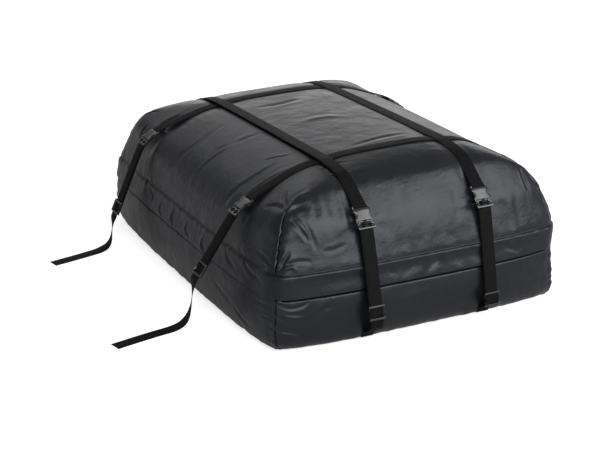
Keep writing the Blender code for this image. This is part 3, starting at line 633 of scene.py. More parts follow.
# Creases and folds, placed through the photograph's pixels: the line, how deep its valley
# is and how wide, in millimetres; a negative depth is a ridge
coverCreases = (
    (((277, 270), (266, 259), (254, 249)), 3.0, 5.0),
    (((276, 271), (262, 266), (248, 260)), 2.5, 4.5),
    (((279, 272), (284, 262), (290, 252)), 3.0, 5.0),
    (((280, 273), (290, 267), (297, 271)), -3.0, 4.0),
    (((282, 268), (297, 262), (312, 262)), 2.0, 5.0),
    (((287, 212), (296, 199), (312, 191)), -4.0, 8.0),
    (((287, 214), (300, 207), (312, 205)), 3.5, 6.0),
    (((286, 212), (276, 206), (264, 207)), 3.0, 6.0),
    (((288, 210), (284, 200), (286, 190)), 2.5, 6.0),
    (((290, 219), (300, 230), (310, 243)), 3.0, 5.0),
    (((299, 216), (309, 230), (316, 250)), 2.6, 5.0),
    (((309, 190), (315, 208), (318, 230)), 1.7, 11.0),
    (((320, 192), (327, 211), (332, 238)), 1.8, 11.0),
    (((331, 188), (337, 205), (341, 229)), 1.5, 11.0),
    (((341, 192), (347, 210), (350, 232)), 1.2, 10.0),
    (((322, 252), (334, 250), (347, 244)), 1.6, 6.0),
    (((140, 139), (143, 131), (149, 124)), 2.5, 5.0),
    (((162, 126), (170, 121), (180, 116)), 2.5, 6.0),
    (((176, 162), (200, 141), (224, 124)), 2.2, 9.0),
    (((196, 172), (216, 154), (244, 138)), -2.0, 9.0),
    (((204, 156), (234, 143), (266, 132)), 2.2, 9.0),
    (((222, 207), (250, 180), (282, 161)), 2.5, 10.0),
    (((240, 200), (262, 182), (292, 166)), -2.0, 8.0),
    (((262, 161), (278, 157), (292, 155)), 2.0, 4.5),
    (((150, 182), (153, 190), (152, 199)), 2.0, 4.0),
    (((321, 170), (332, 164), (348, 162)), 2.0, 5.0),
    (((326, 176), (340, 172), (352, 173)), -1.6, 5.0),
    (((300, 122), (322, 117), (346, 116)), -1.5, 14.0),
    (((256, 108), (280, 104), (304, 98)), 1.6, 10.0),
    (((352, 146), (380, 138), (408, 133)), 1.5, 8.0),
    (((416, 196), (422, 215), (428, 238)), 1.2, 12.0),
    (((436, 200), (439, 216), (444, 236)), 0.9, 12.0),
    (((453, 186), (456, 202), (460, 222)), 1.2, 10.0),
    (((400, 184), (401, 205), (405, 230)), 1.0, 13.0),
    (((384, 208), (387, 224), (391, 242)), 1.0, 11.0),
    (((501, 196), (506, 212), (512, 230)), 1.2, 10.0),
    (((514, 190), (517, 208), (521, 226)), 1.2, 10.0),
    (((519, 166), (523, 177), (528, 191)), 3.0, 4.5),
    (((527, 168), (532, 178), (538, 190)), 3.0, 4.5),
    (((534, 176), (538, 186), (541, 198)), 2.4, 4.0),
    (((524, 172), (529, 184), (534, 196)), -2.4, 4.0),
)
tubCreases = (
    (((271, 331), (286, 332), (304, 335)), 2.4, 4.5),
    (((254, 300), (263, 304), (272, 306)), 2.2, 4.5),
    (((276, 304), (290, 309), (303, 306), (311, 299)), 2.4, 4.5),
    (((262, 316), (268, 318), (272, 319)), 2.0, 4.0),
    (((276, 313), (290, 318), (306, 318)), -2.0, 5.0),
    (((312, 320), (322, 311), (334, 304)), 1.8, 7.0),
    (((234, 306), (240, 316), (250, 326)), 2.0, 6.0),
    (((214, 280), (222, 292), (232, 303)), 1.8, 6.0),
    (((392, 306), (412, 296), (436, 290)), -1.4, 10.0),
    (((500, 283), (515, 277), (532, 272)), 1.6, 8.0),
)
flapCreases = (
    (((148, 186), (153, 194), (152, 204)), 2.4, 5.0),
    (((164, 198), (160, 208), (163, 217)), 1.9, 5.0),
    (((176, 206), (172, 216), (174, 226)), 2.4, 5.0),
    (((190, 220), (186, 228), (190, 238)), 1.9, 5.0),
    (((205, 233), (202, 243), (206, 254)), 2.4, 5.0),
    (((226, 246), (228, 258), (236, 270)), 1.9, 5.0),
    (((244, 262), (250, 272), (262, 282)), 2.4, 5.0),
    (((400, 278), (411, 267), (424, 257)), 1.1, 10.8),
    (((424, 276), (433, 263), (442, 251)), 1.4, 9.5),
    (((442, 251), (448, 261), (453, 270)), -1.2, 9.5),
    (((453, 249), (458, 258), (462, 267)), 1.1, 9.5),
    (((470, 246), (474, 254), (480, 262)), 1.1, 8.8),
    (((384, 261), (391, 270), (396, 280)), 1.0, 9.5),
    (((300, 276), (316, 279), (338, 276)), 0.9, 8.1),
    (((500, 240), (508, 247), (520, 252)), 1.0, 6.8),
)


def treeOf(*pieces):
    trees = []
    for piece in pieces:
        mesh = piece.data
        trees.append(BVHTree.FromPolygons([v.co.copy() for v in mesh.vertices],
                                          [tuple(p.vertices) for p in mesh.polygons]))
    return trees


def throughPixels(trees, pixels):
    spots = []
    for px, py in pixels:
        origin, way = pixelRay(px, py)
        hits = [tree.ray_cast(origin, way) for tree in trees]
        hits = [(hit[3], hit[0]) for hit in hits if hit[0] is not None]
        if hits:
            spots.append(min(hits, key=lambda h: h[0])[1])
    return spots


def smoothLine(points, steps=6):
    # A Catmull-Rom curve through a few points
    points = [np.asarray(p, float) for p in points]
    full = [2 * points[0] - points[1], *points, 2 * points[-1] - points[-2]]
    curve = []
    for k in range(1, len(full) - 2):
        a, b, c, d = full[k - 1:k + 3]
        for s in range(steps):
            t = s / steps
            curve.append(0.5 * (2 * b + (c - a) * t + (2 * a - 5 * b + 4 * c - d) * t * t
                                + (3 * b - a - 3 * c + d) * t ** 3))
    curve.append(points[-1])
    return np.array(curve)


def pressCreases(piece, creases):
    places, normals = pointsOf(piece), normalsOf(piece)
    trees = treeOf(piece)
    moved = np.zeros(len(places))
    for pixels, depth, width in creases:
        line = throughPixels(trees, pixels)
        if len(line) < 2:
            print("  a crease missed the cloth at", pixels[0])
            continue
        gap, share = nearLine(places, smoothLine(line))
        width = width / 1000
        fade = np.clip(np.minimum(share, 1 - share) * 3.2, 0.0, 1) ** 0.7
        valley = np.exp(-(gap / width) ** 2)
        banks = np.exp(-((gap - 2.0 * width) / width) ** 2) * 0.35
        moved -= depth / 1000 * fade * (valley - banks)
    movePoints(piece, places + normals * moved[:, None])


def seamLine(height, standOff=0.0):
    return np.array([wallPoint(s, height, standOff) for s in allStations()])


def puckerSeam(piece, line, work, seed):
    # Short puckers that run away from a sewn line
    reach, depth, pitch = work["reach"], work["pucker"], work["pitch"]
    places, normals = pointsOf(piece), normalsOf(piece)
    gap, share = nearLine(places, line)
    near = np.nonzero(gap < reach * 2.5)[0]
    steps = np.linalg.norm(np.diff(line, axis=0), axis=1).sum()
    walk = share[near] * steps
    wave = np.array([noise.noise(Vector((w / pitch, seed, g / (reach * 3))))
                     for w, g in zip(walk, gap[near])]) * 1.8
    fall = np.exp(-(gap[near] / reach) ** 2) * np.clip(gap[near] / 0.004, 0, 1)
    moved = np.zeros(len(places))
    moved[near] = wave * fall * depth
    movePoints(piece, places + normals * moved[:, None])


def sinkSeam(piece, line, work):
    # A sewn line draws the cloth in
    places, normals = pointsOf(piece), normalsOf(piece)
    gap, share = nearLine(places, line)
    fade = np.clip((1 - share) * 6, 0, 1)
    moved = -work["sink"] * np.exp(-(gap / work["width"]) ** 2) * fade
    movePoints(piece, places + normals * moved[:, None])


def refineNear(piece, lines, reach):
    # Halves the grid close to sewn lines and creases, so that they come out crisp
    places = pointsOf(piece)
    near = np.zeros(len(places), bool)
    for line in lines:
        box = (places > line.min(0) - reach).all(1) & (places < line.max(0) + reach).all(1)
        some = np.nonzero(box)[0]
        gap, _ = nearLine(places[some], line)
        near[some[gap < reach]] = True
    shape = bmesh.new()
    shape.from_mesh(piece.data)
    shape.verts.ensure_lookup_table()
    edges = [e for e in shape.edges if near[e.verts[0].index] and near[e.verts[1].index]]
    bmesh.ops.subdivide_edges(shape, edges=edges, cuts=1, use_grid_fill=True)
    shape.to_mesh(piece.data)
    shape.free()


def creaseLines(piece, creases):
    tree = treeOf(piece)
    lines = [throughPixels(tree, pixels) for pixels, _, _ in creases]
    return [smoothLine(line) for line in lines if len(line) > 1]


def pullOut(piece, line, amounts, width):
    # Draws the cloth outwards to a sewn ridge; the amount goes from the line's one end to
    # the other
    places = pointsOf(piece)
    gap, share = nearLine(places, line)
    fall = np.exp(-(gap / width) ** 1.5)
    amount = amounts[0] + (amounts[1] - amounts[0]) * share
    way = places[:, :2] / np.linalg.norm(places[:, :2], axis=1)[:, None]
    places[:, :2] += way * (fall * amount)[:, None]
    movePoints(piece, places)


def thicken(piece, thick):
    applyModifier(piece, "SOLIDIFY", thickness=thick, offset=-1.0, use_rim=True)


def ontoCloth(piece, line):
    # Lays a line of points on the cloth
    tree = treeOf(piece)[0]
    return np.array([tree.find_nearest(Vector(spot))[0] for spot in line])


# Sewing: how far, how deep and how often the cloth puckers along a seam, how deep and wide
# the sewn groove is, and how far a corner is pulled out, in metres
seamWork = {
    "dart": {"reach": 0.024, "pucker": 0.0016, "pitch": 0.020, "sink": 0.0074,
             "width": 0.0024},
    "coverEdge": {"reach": 0.020, "pucker": 0.0013, "pitch": 0.026},
    "corner": {"reach": 0.022, "pucker": 0.0024, "pitch": 0.015, "sink": 0.0050,
               "width": 0.0026, "pull": (0.013, 0.006), "ridge": 0.016},
    "tubEdge": {"reach": 0.034, "pucker": 0.0020, "pitch": 0.034},
    "tubFoot": {"reach": 0.026, "pucker": 0.0014, "pitch": 0.024, "height": 0.004},
    "underFlap": {"sink": 0.0062, "width": 0.0036},
    "flapEdge": {"reach": 0.018, "pucker": 0.0011, "pitch": 0.022, "height": 0.2125,
                 "off": 0.006},
}


def finishCover(piece):
    lines = [ontoCloth(piece, smoothLine(line)) for line in darts.values()]
    creased = creaseLines(piece, coverCreases)
    refineNear(piece, lines + creased, 0.016)
    refineNear(piece, lines, 0.009)
    refineNear(piece, lines, 0.006)
    for k, line in enumerate(lines):
        puckerSeam(piece, line, seamWork["dart"], 3.1 + k)
        sinkSeam(piece, line, seamWork["dart"])
    puckerSeam(piece, seamLine(bagForm["coverBottom"]), seamWork["coverEdge"], 8.3)
    pressCreases(piece, coverCreases)
    thicken(piece, fabricGrid["thick"])
    smoothShade(piece, 70)


def cornerLine(way, end, low, high):
    station = cornerStation(way, end)
    return [tuple(wallPoint(station, low + (high - low) * k / 6)) for k in range(7)]


def closeBottom(piece):
    shape = bmesh.new()
    shape.from_mesh(piece.data)
    low = [e for e in shape.edges if e.is_boundary and max(v.co.z for v in e.verts) < 0.05]
    bmesh.ops.edgeloop_fill(shape, edges=low)
    bmesh.ops.recalc_face_normals(shape, faces=shape.faces)
    shape.to_mesh(piece.data)
    shape.free()


def finishTub(piece):
    lines = [ontoCloth(piece, smoothLine(cornerLine(way, end, 0.0, 0.190), 2))
             for way in (-1, 1) for end in (-1, 1)]
    refineNear(piece, lines + creaseLines(piece, tubCreases), 0.018)
    refineNear(piece, [*lines, seamLine(bagForm["underFlap"])], 0.010)
    refineNear(piece, lines, 0.007)
    corner, foot = seamWork["corner"], seamWork["tubFoot"]
    for k, line in enumerate(lines):
        puckerSeam(piece, line, corner, 11 + k)
        pullOut(piece, line, corner["pull"], corner["ridge"])
        # The groove runs on the ridge's crest, which is nearest to a line just outside it
        crest = ontoCloth(piece, line * (1.03, 1.03, 1.0))
        sinkSeam(piece, crest, corner)
    puckerSeam(piece, seamLine(bagForm["tubTop"]), seamWork["tubEdge"], 5.5)
    puckerSeam(piece, seamLine(foot["height"]), foot, 6.5)
    sinkSeam(piece, seamLine(bagForm["underFlap"]), seamWork["underFlap"])
    pressCreases(piece, tubCreases)
    places = pointsOf(piece)
    places[:, 2] = np.maximum(places[:, 2], 0.0)
    movePoints(piece, places)
    closeBottom(piece)
    thicken(piece, fabricGrid["thick"])
    smoothShade(piece, 50)


finishCover(cover)
finishTub(tub)
print("seams and creases pressed")


# Storm flap: sewn in under the cover's folded edge, it hangs over the zip on three sides
flapForm = {
    "line": ((0.2190, -0.0010), (0.2165, -0.0008), (0.2145, -0.0014), (0.2128, -0.0008),
             (0.2108, 0.0034), (0.2080, 0.0064), (0.1990, 0.0096), (0.1890, 0.0104),
             (0.1790, 0.0099), (0.1690, 0.0088), (0.1600, 0.0078), (0.1530, 0.0070)),
    "hem": ((0.2176, -0.0010), (0.2170, 0.0005), (0.2161, 0.0013), (0.2151, 0.0015),
            (0.2143, 0.0012), (0.2138, 0.0000)),
    "wave": 0.0014, "edgeWave": 0.0016, "thick": 0.0013, "hemThick": 0.0009,
}


def flapStations():
    # From the rear left corner round the front to the rear right corner
    stations = allStations()
    first = next(k for k, s in enumerate(stations) if s[0] == "left")
    rear = next(k for k, s in enumerate(stations) if s[0] == "rear")
    return stations[first:] + stations[:rear + 1]


def standOffs(stations, height):
    # How far the finished cover stands from its plain wall, evened out along the seam
    tree = treeOf(cover)[0]
    found = []
    for station in stations:
        start, inside = wallPoint(station, height, 0.05), wallPoint(station, height, -0.03)
        spot = tree.ray_cast(start, inside - start)[0]
        found.append(0.05 - (spot - start).length if spot else 0.0)
    found = [found[0]] * 2 + found + [found[-1]] * 2
    return [sum(found[k:k + 5]) / 5 for k in range(len(stations))]


def makeBand(name, stations, rows, waves):
    # Cloth that follows the wall, with one row of points for each height and stand-off
    points = []
    highest, lowest = rows[0][0], rows[-1][0]
    for station, lift in zip(stations, standOffs(stations, rows[0][0] - 0.002)):
        spot = wallPoint(station, 0.18)
        swing = noise.noise(spot * 9.0 + Vector((4.2, 0, 1.1)))
        edge = noise.noise(spot * 5.0 + Vector((9.2, 3, 2.1)))
        for height, off in rows:
            drop = (highest - height) / (highest - lowest)
            off += waves[0] * swing * drop * 1.4 + lift * max(0.0, 1 - (highest - height) / 0.03)
            height += waves[1] * edge * drop ** 2
            points.append(wallPoint(station, height, off))
    size = len(rows)
    faces = [(k * size + r + 1, (k + 1) * size + r + 1, (k + 1) * size + r, k * size + r)
             for k in range(len(stations) - 1) for r in range(size - 1)]
    piece = newMesh(name, points, faces, fabric)
    applyModifier(piece, "SUBSURF", levels=1, render_levels=1)
    return piece


def makeFlap():
    piece = makeBand("stormFlapFabric", flapStations(), flapForm["line"],
                     (flapForm["wave"], flapForm["edgeWave"]))
    refineNear(piece, creaseLines(piece, flapCreases), 0.014)
    edge = seamWork["flapEdge"]
    puckerSeam(piece, seamLine(edge["height"], edge["off"]), edge, 2.2)
    pressCreases(piece, flapCreases)
    thicken(piece, flapForm["thick"])
    smoothShade(piece, 60)
    return piece


def makeHem():
    piece = makeBand("coverSeamFold", flapStations(), flapForm["hem"], (0.0, 0.0))
    thicken(piece, flapForm["hemThick"])
    smoothShade(piece, 60)
    return piece


flap = makeFlap()
hem = makeHem()
print("storm flap made")


# Rear join: the cover is sewn straight to the tub behind; height and stand-off of each row
rearJoinRows = (
    (0.2165, -0.0012), (0.2145, 0.0012), (0.2100, 0.0024), (0.2045, 0.0006),
    (0.2020, 0.0006), (0.1960, 0.0024), (0.1915, 0.0012), (0.1895, -0.0012),
)


def makeRearJoin():
    stations = allStations()
    first = next(k for k, s in enumerate(stations) if s[0] == "rear")
    last = next(k for k, s in enumerate(stations) if s[0] == "left")
    piece = makeBand("rearJoinFabric", stations[first:last + 1], rearJoinRows, (0.0, 0.0))
    thicken(piece, fabricGrid["thick"])
    smoothShade(piece, 60)
    return piece


rearJoin = makeRearJoin()
for piece, node in ((cover, "top_cover"), (tub, "base_tub"), (flap, "storm_flap"),
                    (rearJoin, "rear_hinge_strip")):
    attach(piece, "bag")
    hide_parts(node)
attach(hem, "bag")
print("rear join made")


# Webbing: flat ribbons with rounded edges and a length map for the weave
strapForm = {
    "width": 0.038, "thick": 0.0013, "gap": 0.0004, "step": 0.007, "probe": 0.006,
    "feelers": (-0.019, -0.012, -0.006, 0, 0.006, 0.012, 0.019), "keepOff": 0.004,
}


def ribbon(name, path, across, node):
    wide, thick = strapForm["width"] / 2, strapForm["thick"] / 2
    bevel = thick * 0.9
    outline = [(-wide, 0.0), (-wide + bevel, -thick), (-wide / 3, -thick), (wide / 3, -thick),
               (wide - bevel, -thick), (wide, 0.0), (wide - bevel, thick), (wide / 3, thick),
               (-wide / 3, thick), (-wide + bevel, thick)]
    points, walk, run = [], [], 0.0
    path = [Vector(p) for p in path]
    for k, spot in enumerate(path):
        before = (spot - path[k - 1]) if k else (path[1] - spot)
        after = (path[k + 1] - spot) if k + 1 < len(path) else before
        along = (before.normalized() + after.normalized()).normalized()
        side = Vector(across[k] if isinstance(across, list) else across)
        side = (side - along * side.dot(along)).normalized()
        up = side.cross(along)
        if k:
            run += before.length
        for x, z in outline:
            points.append(spot + side * x + up * z)
            walk.append((x + wide, run))
    size = len(outline)
    faces = [(k * size + s, k * size + (s + 1) % size,
              (k + 1) * size + (s + 1) % size, (k + 1) * size + s)
             for k in range(len(path) - 1) for s in range(size)]
    faces.append(tuple(reversed(range(size))))
    end = (len(path) - 1) * size
    faces.append(tuple(range(end, end + size)))
    piece = newMesh(name, points, faces, webbing)
    mesh = piece.data
    layer = mesh.uv_layers.new(name="weave")
    for loop in mesh.loops:
        layer.data[loop.index].uv = walk[loop.vertex_index]
    shape = bmesh.new()
    shape.from_mesh(mesh)
    bmesh.ops.recalc_face_normals(shape, faces=shape.faces)
    shape.to_mesh(mesh)
    shape.free()
    smoothShade(piece, 50)
    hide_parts(node)
    return piece


# Buckle places: the way each faces, which strap, mouth as (out, up), slope, adjuster middle
buckleEnds = {
    "front_left": ("front", -1, (0.5661, 0.3252), 46.7, (0.640, 0.095)),
    "front_right": ("front", 1, (0.5661, 0.3252), 46.7, (0.634, 0.062)),
    "rear_left": ("rear", -1, (0.5661, 0.3252), 46.7, (0.640, 0.095)),
    "rear_right": ("rear", 1, (0.5661, 0.3252), 46.7, (0.634, 0.062)),
    "left_front": ("left", -1, (0.4312, 0.3240), 33.0, (0.543, 0.173)),
    "left_rear": ("left", 1, (0.4292, 0.3252), 33.0, (0.530, 0.126)),
    "right_front": ("right", -1, (0.4312, 0.3240), 33.0, (0.543, 0.173)),
    "right_rear": ("right", 1, (0.4292, 0.3252), 33.0, (0.530, 0.126)),
}
buckleForm = {
    "bar": -0.0405, "barTurn": 0.0030, "foldBack": 0.025, "loopStart": (0.030, -0.0046),
    "layers": 0.0052, "pastAdjuster": 0.0215, "ladderTurn": 0.0115,
    "intoLadder": ((0.0185, -0.0043), (0.0125, 0.0030)),
    "outOfLadder": ((0.0125, -0.0048), (0.0185, -0.0078)),
}
# Where the front and rear straps run on to the bottom seam, as (out, up)
sewnEnd = ((0.637, 0.047), (0.621, 0.036), (0.6034, 0.0290), (0.5883, 0.0076))


def strapBase(way, side):
    if way in ("front", "rear"):
        return Vector((side * bagForm["lengthStrapX"], 0, 0))
    return Vector((0, side * bagForm["crossStrapY"], 0))


def strapPlace(way, side, out, height):
    return strapBase(way, side) + outward[way] * out + Vector((0, 0, height))


def buckleFrame(end):
    way, side, mouth, slope, _ = buckleEnds[end]
    drop = radians(slope)
    down = outward[way] * cos(drop) - Vector((0, 0, 1)) * sin(drop)
    up = outward[way] * sin(drop) + Vector((0, 0, 1)) * cos(drop)
    return strapPlace(way, side, *mouth), down.cross(up), down, up


def frameMatrix(place, across, down, up):
    return Matrix.Translation(place) @ Matrix((across, down, up)).transposed().to_4x4()


def barTurn(centre, start, stop, steps):
    angles = [radians(start + (stop - start) * k / steps) for k in range(steps + 1)]
    radius = buckleForm["barTurn"]
    return [(centre + radius * cos(a), radius * sin(a)) for a in angles]


def convexTop(points):
    hull = []
    for point in sorted(points):
        while len(hull) > 1:
            (ax, ay), (bx, by) = hull[-2], hull[-1]
            if (bx - ax) * (point[1] - ay) - (by - ay) * (point[0] - ax) < 0:
                break
            hull.pop()
        hull.append(point)
    return hull


def offsetLine(line, amount):
    moved = []
    for k, (x, y) in enumerate(line):
        x0, y0 = line[max(k - 1, 0)]
        x1, y1 = line[min(k + 1, len(line) - 1)]
        size = ((x1 - x0) ** 2 + (y1 - y0) ** 2) ** 0.5
        moved.append((x - (y1 - y0) / size * amount, y + (x1 - x0) / size * amount))
    return moved


def resample(path, step):
    # Even steps along a line of points
    path = [Vector(p) for p in path]
    spots = [path[0]]
    for a, b in zip(path, path[1:]):
        count = max(1, round((b - a).length / step))
        spots += [a.lerp(b, k / count) for k in range(1, count + 1)]
    return spots


def roundCorners(path, passes=2):
    path = [Vector(p) for p in path]
    for _ in range(passes):
        cut = [path[0]]
        for a, b in zip(path, path[1:]):
            cut += [a.lerp(b, 0.25), a.lerp(b, 0.75)]
        cut.append(path[-1])
        path = cut
    return path


def topOf(trees, x, y):
    heights = []
    for tree in trees:
        hit = tree.ray_cast(Vector((x, y, 1.0)), Vector((0, 0, -1)))
        if hit[0] is not None:
            heights.append(hit[0].z)
    return max(heights) if heights else None


def overStrap(name, ends, trees):
    # Taut webbing from one socket's bar over the cover to the other's
    axis = 1 if buckleEnds[ends[0]][0] == "front" else 0
    frames = [buckleFrame(end) for end in ends]
    base = strapBase(*buckleEnds[ends[0]][:2])
    bar, turn = buckleForm["bar"], buckleForm["barTurn"]
    starts = []
    for place, _, down, up in frames:
        top = place + down * bar + up * turn
        starts.append((top[axis], top.z))
    clear = strapForm["gap"] + strapForm["thick"] / 2
    surface = []
    count = round((starts[1][0] - starts[0][0]) / strapForm["probe"])
    for k in range(count + 1):
        along = starts[0][0] + (starts[1][0] - starts[0][0]) * k / count
        heights = []
        for side in strapForm["feelers"]:
            spot = base.copy()
            spot[axis] = along
            spot[1 - axis] += side
            height = topOf(trees, spot.x, spot.y)
            if height is not None:
                heights.append(height)
        if heights:
            surface.append((along, max(heights)))
    keepOff = strapForm["keepOff"]
    line = [p for p in offsetLine(convexTop(surface), clear)
            if starts[0][0] + keepOff < p[0] < starts[1][0] - keepOff]
    hull = convexTop([*starts, *line])
    arms = []
    for (place, _, down, up), first, second in ((frames[0], hull[0], hull[1]),
                                                (frames[1], hull[-1], hull[-2])):
        arc = barTurn(bar, -90, 90, 6)[:-1]
        arc = [place + down * s + up * n for s, n in arc]
        arc = [(p[axis], p.z) for p in arc]
        away = Vector((second[0] - first[0], second[1] - first[1])).normalized()
        arms.append([tuple(Vector(arc[0]) + away * buckleForm["foldBack"]), *arc])
    flat = arms[0] + hull + arms[1][::-1]
    path = []
    for along, height in flat:
        spot = base.copy()
        spot[axis] = along
        spot.z = height
        path.append(spot)
    path = resample(path, strapForm["step"])
    across = Vector((1, 0, 0)) if axis == 1 else Vector((0, -1, 0))
    piece = ribbon(name + "_webbing", path, across, name)
    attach(piece, "bag")
    return piece


def makeOverStraps():
    crossing = []
    for name, place in (("cross_strap_front", "front"), ("cross_strap_rear", "rear")):
        ends = ("left_" + place, "right_" + place)
        crossing.append(overStrap(name, ends, treeOf(cover)))
    for name, place in (("long_strap_left", "left"), ("long_strap_right", "right")):
        overStrap(name, ("front_" + place, "rear_" + place), treeOf(cover, *crossing))


makeOverStraps()
print("straps over the cover made")


def loopDirections(end):
    place, across, down, up = buckleFrame(end)
    way, side, _, _, glide = buckleEnds[end]
    start = place + down * buckleForm["loopStart"][0] + up * buckleForm["loopStart"][1]
    middle = strapPlace(way, side, *glide)
    along = (middle - start).normalized()
    return start, middle, along, along.cross(across) * -1


def makeLowerStrap(end):
    place, across, down, up = buckleFrame(end)
    start, middle, along, out = loopDirections(end)
    way, side = buckleEnds[end][:2]
    below = buckleForm["pastAdjuster"]
    path = []
    onEnd = way in ("front", "rear")
    if onEnd:
        path += [strapPlace(way, side, *spot) for spot in sewnEnd[::-1]]
    path += [middle + along * below, start]
    threaded = [*buckleForm["intoLadder"], *barTurn(buckleForm["ladderTurn"], 100, 225, 4),
                *buckleForm["outOfLadder"]]
    path += [place + down * s + up * n for s, n in threaded]
    path += [start - out * buckleForm["layers"],
             middle + along * below - out * buckleForm["layers"]]
    path = resample(roundCorners(path), strapForm["step"])
    body = end + "_lower_end"
    piece = ribbon(end + "_lower_webbing", path, across, end + "_lower_strap")
    if onEnd:
        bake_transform(piece)
    else:
        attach(piece, body)


# Loose tails: the frame's route, and how far the webbing has turned, in degrees
tailRoutes = {
    "left_front": (
        (-0.55533, -0.333, 0.15491, 0), (-0.56209, -0.333, 0.14499, 0),
        (-0.5650, -0.3320, 0.1300, -10), (-0.5665, -0.3300, 0.1080, -22),
        (-0.5665, -0.3260, 0.0840, -24), (-0.5680, -0.3205, 0.0600, -20),
        (-0.5730, -0.3150, 0.0370, -13), (-0.5840, -0.3100, 0.0180, -7),
        (-0.6010, -0.3070, 0.0070, -3), (-0.6240, -0.3070, 0.0022, 0),
        (-0.6500, -0.3095, 0.0012, 0), (-0.6800, -0.3145, 0.0010, 0),
        (-0.7150, -0.3215, 0.0010, 0), (-0.7530, -0.3295, 0.0010, 0),
        (-0.7910, -0.3380, 0.0010, 0)),
    "left_rear": (
        (-0.53876, 0.333, 0.10593, 0), (-0.54356, 0.333, 0.09493, 0),
        (-0.5470, 0.3320, 0.0820, -10), (-0.5500, 0.3305, 0.0640, -20),
        (-0.5530, 0.3285, 0.0460, -18), (-0.5580, 0.3260, 0.0290, -13),
        (-0.5680, 0.3230, 0.0150, -7), (-0.5840, 0.3190, 0.0065, -3),
        (-0.6070, 0.3140, 0.0022, 0), (-0.6400, 0.3070, 0.0012, 0),
        (-0.6780, 0.2980, 0.0010, 0), (-0.7180, 0.2890, 0.0010, 0),
        (-0.7560, 0.2810, 0.0010, 0)),
    "right_front": (
        (0.55533, -0.333, 0.15491, 0), (0.56209, -0.333, 0.14499, 0),
        (0.5650, -0.3300, 0.1300, 8), (0.5670, -0.3250, 0.1080, 18),
        (0.5680, -0.3180, 0.0840, 28), (0.5700, -0.3090, 0.0600, 36),
        (0.5740, -0.2980, 0.0370, 42), (0.5820, -0.2840, 0.0180, 45),
        (0.5940, -0.2680, 0.0070, 46), (0.6080, -0.2520, 0.0022, 46),
        (0.6260, -0.2320, 0.0012, 46), (0.6460, -0.2100, 0.0010, 46),
        (0.6680, -0.1860, 0.0010, 46), (0.6900, -0.1620, 0.0010, 46),
        (0.7120, -0.1380, 0.0010, 46)),
    "right_rear": (
        (0.53876, 0.333, 0.10593, 0), (0.54356, 0.333, 0.09493, 0),
        (0.5470, 0.3340, 0.0820, 8), (0.5500, 0.3355, 0.0640, 14),
        (0.5530, 0.3375, 0.0460, 12), (0.5580, 0.3400, 0.0290, 8),
        (0.5680, 0.3430, 0.0150, 4), (0.5840, 0.3470, 0.0065, 0),
        (0.6070, 0.3520, 0.0022, 0), (0.6400, 0.3590, 0.0012, 0),
        (0.6780, 0.3680, 0.0010, 0), (0.7180, 0.3770, 0.0010, 0),
        (0.7560, 0.3850, 0.0010, 0)),
}


def makeTail(end):
    route = np.array(tailRoutes[end])
    curve = smoothLine(route, 4)
    path = [Vector(p[:3]) for p in curve]
    start = Vector((0, -1, 0)) if end.startswith("left") else Vector((0, 1, 0))
    across = []
    for k, spot in enumerate(curve):
        along = path[min(k + 1, len(path) - 1)] - path[max(k - 1, 0)]
        flat = Vector((0, 0, 1)).cross(along).normalized()
        flat = -flat if flat.dot(start) < 0 else flat
        turned = Matrix.Rotation(radians(spot[3]), 3, "Z") @ start
        lying = min(max((0.012 - spot[2]) / 0.010, 0.0), 1.0)
        across.append(turned.lerp(flat, lying))
    piece = ribbon(end + "_tail_webbing", path, across, end + "_tail")
    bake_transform(piece)


for end in buckleEnds:
    makeLowerStrap(end)
for end in tailRoutes:
    makeTail(end)
print("lower straps and tails made")


# Topstitching: short bonded threads, drawn 1 mm thick, where a real one is half that
stitchForm = {
    "pitch": 0.0058, "length": 0.0040, "thick": 0.0005, "sink": 0.0001,
    "coverHeight": 0.2262, "besideDart": 0.0055, "flapHeight": 0.1585, "flapOff": 0.008,
}


def sewAlong(lines, tree):
    # One thread bead for each stitch, lying on the cloth
    form = stitchForm
    points, faces = [], []
    for line in lines:
        steps = np.linalg.norm(np.diff(line, axis=0), axis=1)
        walk = np.concatenate([[0], np.cumsum(steps)])
        for reach in np.arange(form["pitch"] / 2, walk[-1], form["pitch"]):
            k = min(int(np.searchsorted(walk, reach)) - 1, len(line) - 2)
            share = (reach - walk[k]) / steps[k]
            spot = Vector(line[k] + (line[k + 1] - line[k]) * share)
            hit, up, _, _ = tree.find_nearest(spot)
            if hit is None or (hit - spot).length > 0.012:
                continue
            along = Vector(line[k + 1] - line[k])
            along = (along - up * along.dot(up)).normalized()
            side = up.cross(along)
            thick, half = form["thick"], form["length"] / 2
            base = len(points)
            for end in (-1, 1):
                for s, u in ((-1, 0), (0, 1), (1, 0)):
                    points.append(hit + along * end * half * 0.8 + side * s * thick
                                  + up * (u * thick - form["sink"]))
                points.append(hit + along * end * half - up * form["sink"])
            a, b = base, base + 4
            faces += [(a, b, b + 1, a + 1), (a + 1, b + 1, b + 2, a + 2), (a + 2, b + 2, b, a),
                      (a, a + 1, a + 3), (a + 1, a + 2, a + 3), (a + 2, a, a + 3),
                      (b + 1, b, b + 3), (b + 2, b + 1, b + 3), (b, b + 2, b + 3)]
    return points, faces


def makeStitches(name, lines, *pieces):
    points, faces = [], []
    for tree in treeOf(*pieces):
        more, moreFaces = sewAlong(lines, tree)
        base = len(points)
        points += more
        faces += [tuple(base + i for i in face) for face in moreFaces]
    piece = newMesh(name, points, faces, thread)
    shape = bmesh.new()
    shape.from_mesh(piece.data)
    bmesh.ops.recalc_face_normals(shape, faces=shape.faces)
    shape.to_mesh(piece.data)
    shape.free()
    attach(piece, "bag")


def besideDarts(gap):
    lines = []
    for line in darts.values():
        line = smoothLine(line)
        around = np.cross([0, 0, 1], line[-1] - line[0])
        around /= np.linalg.norm(around)
        lines += [line + around * gap, line - around * gap]
    return lines


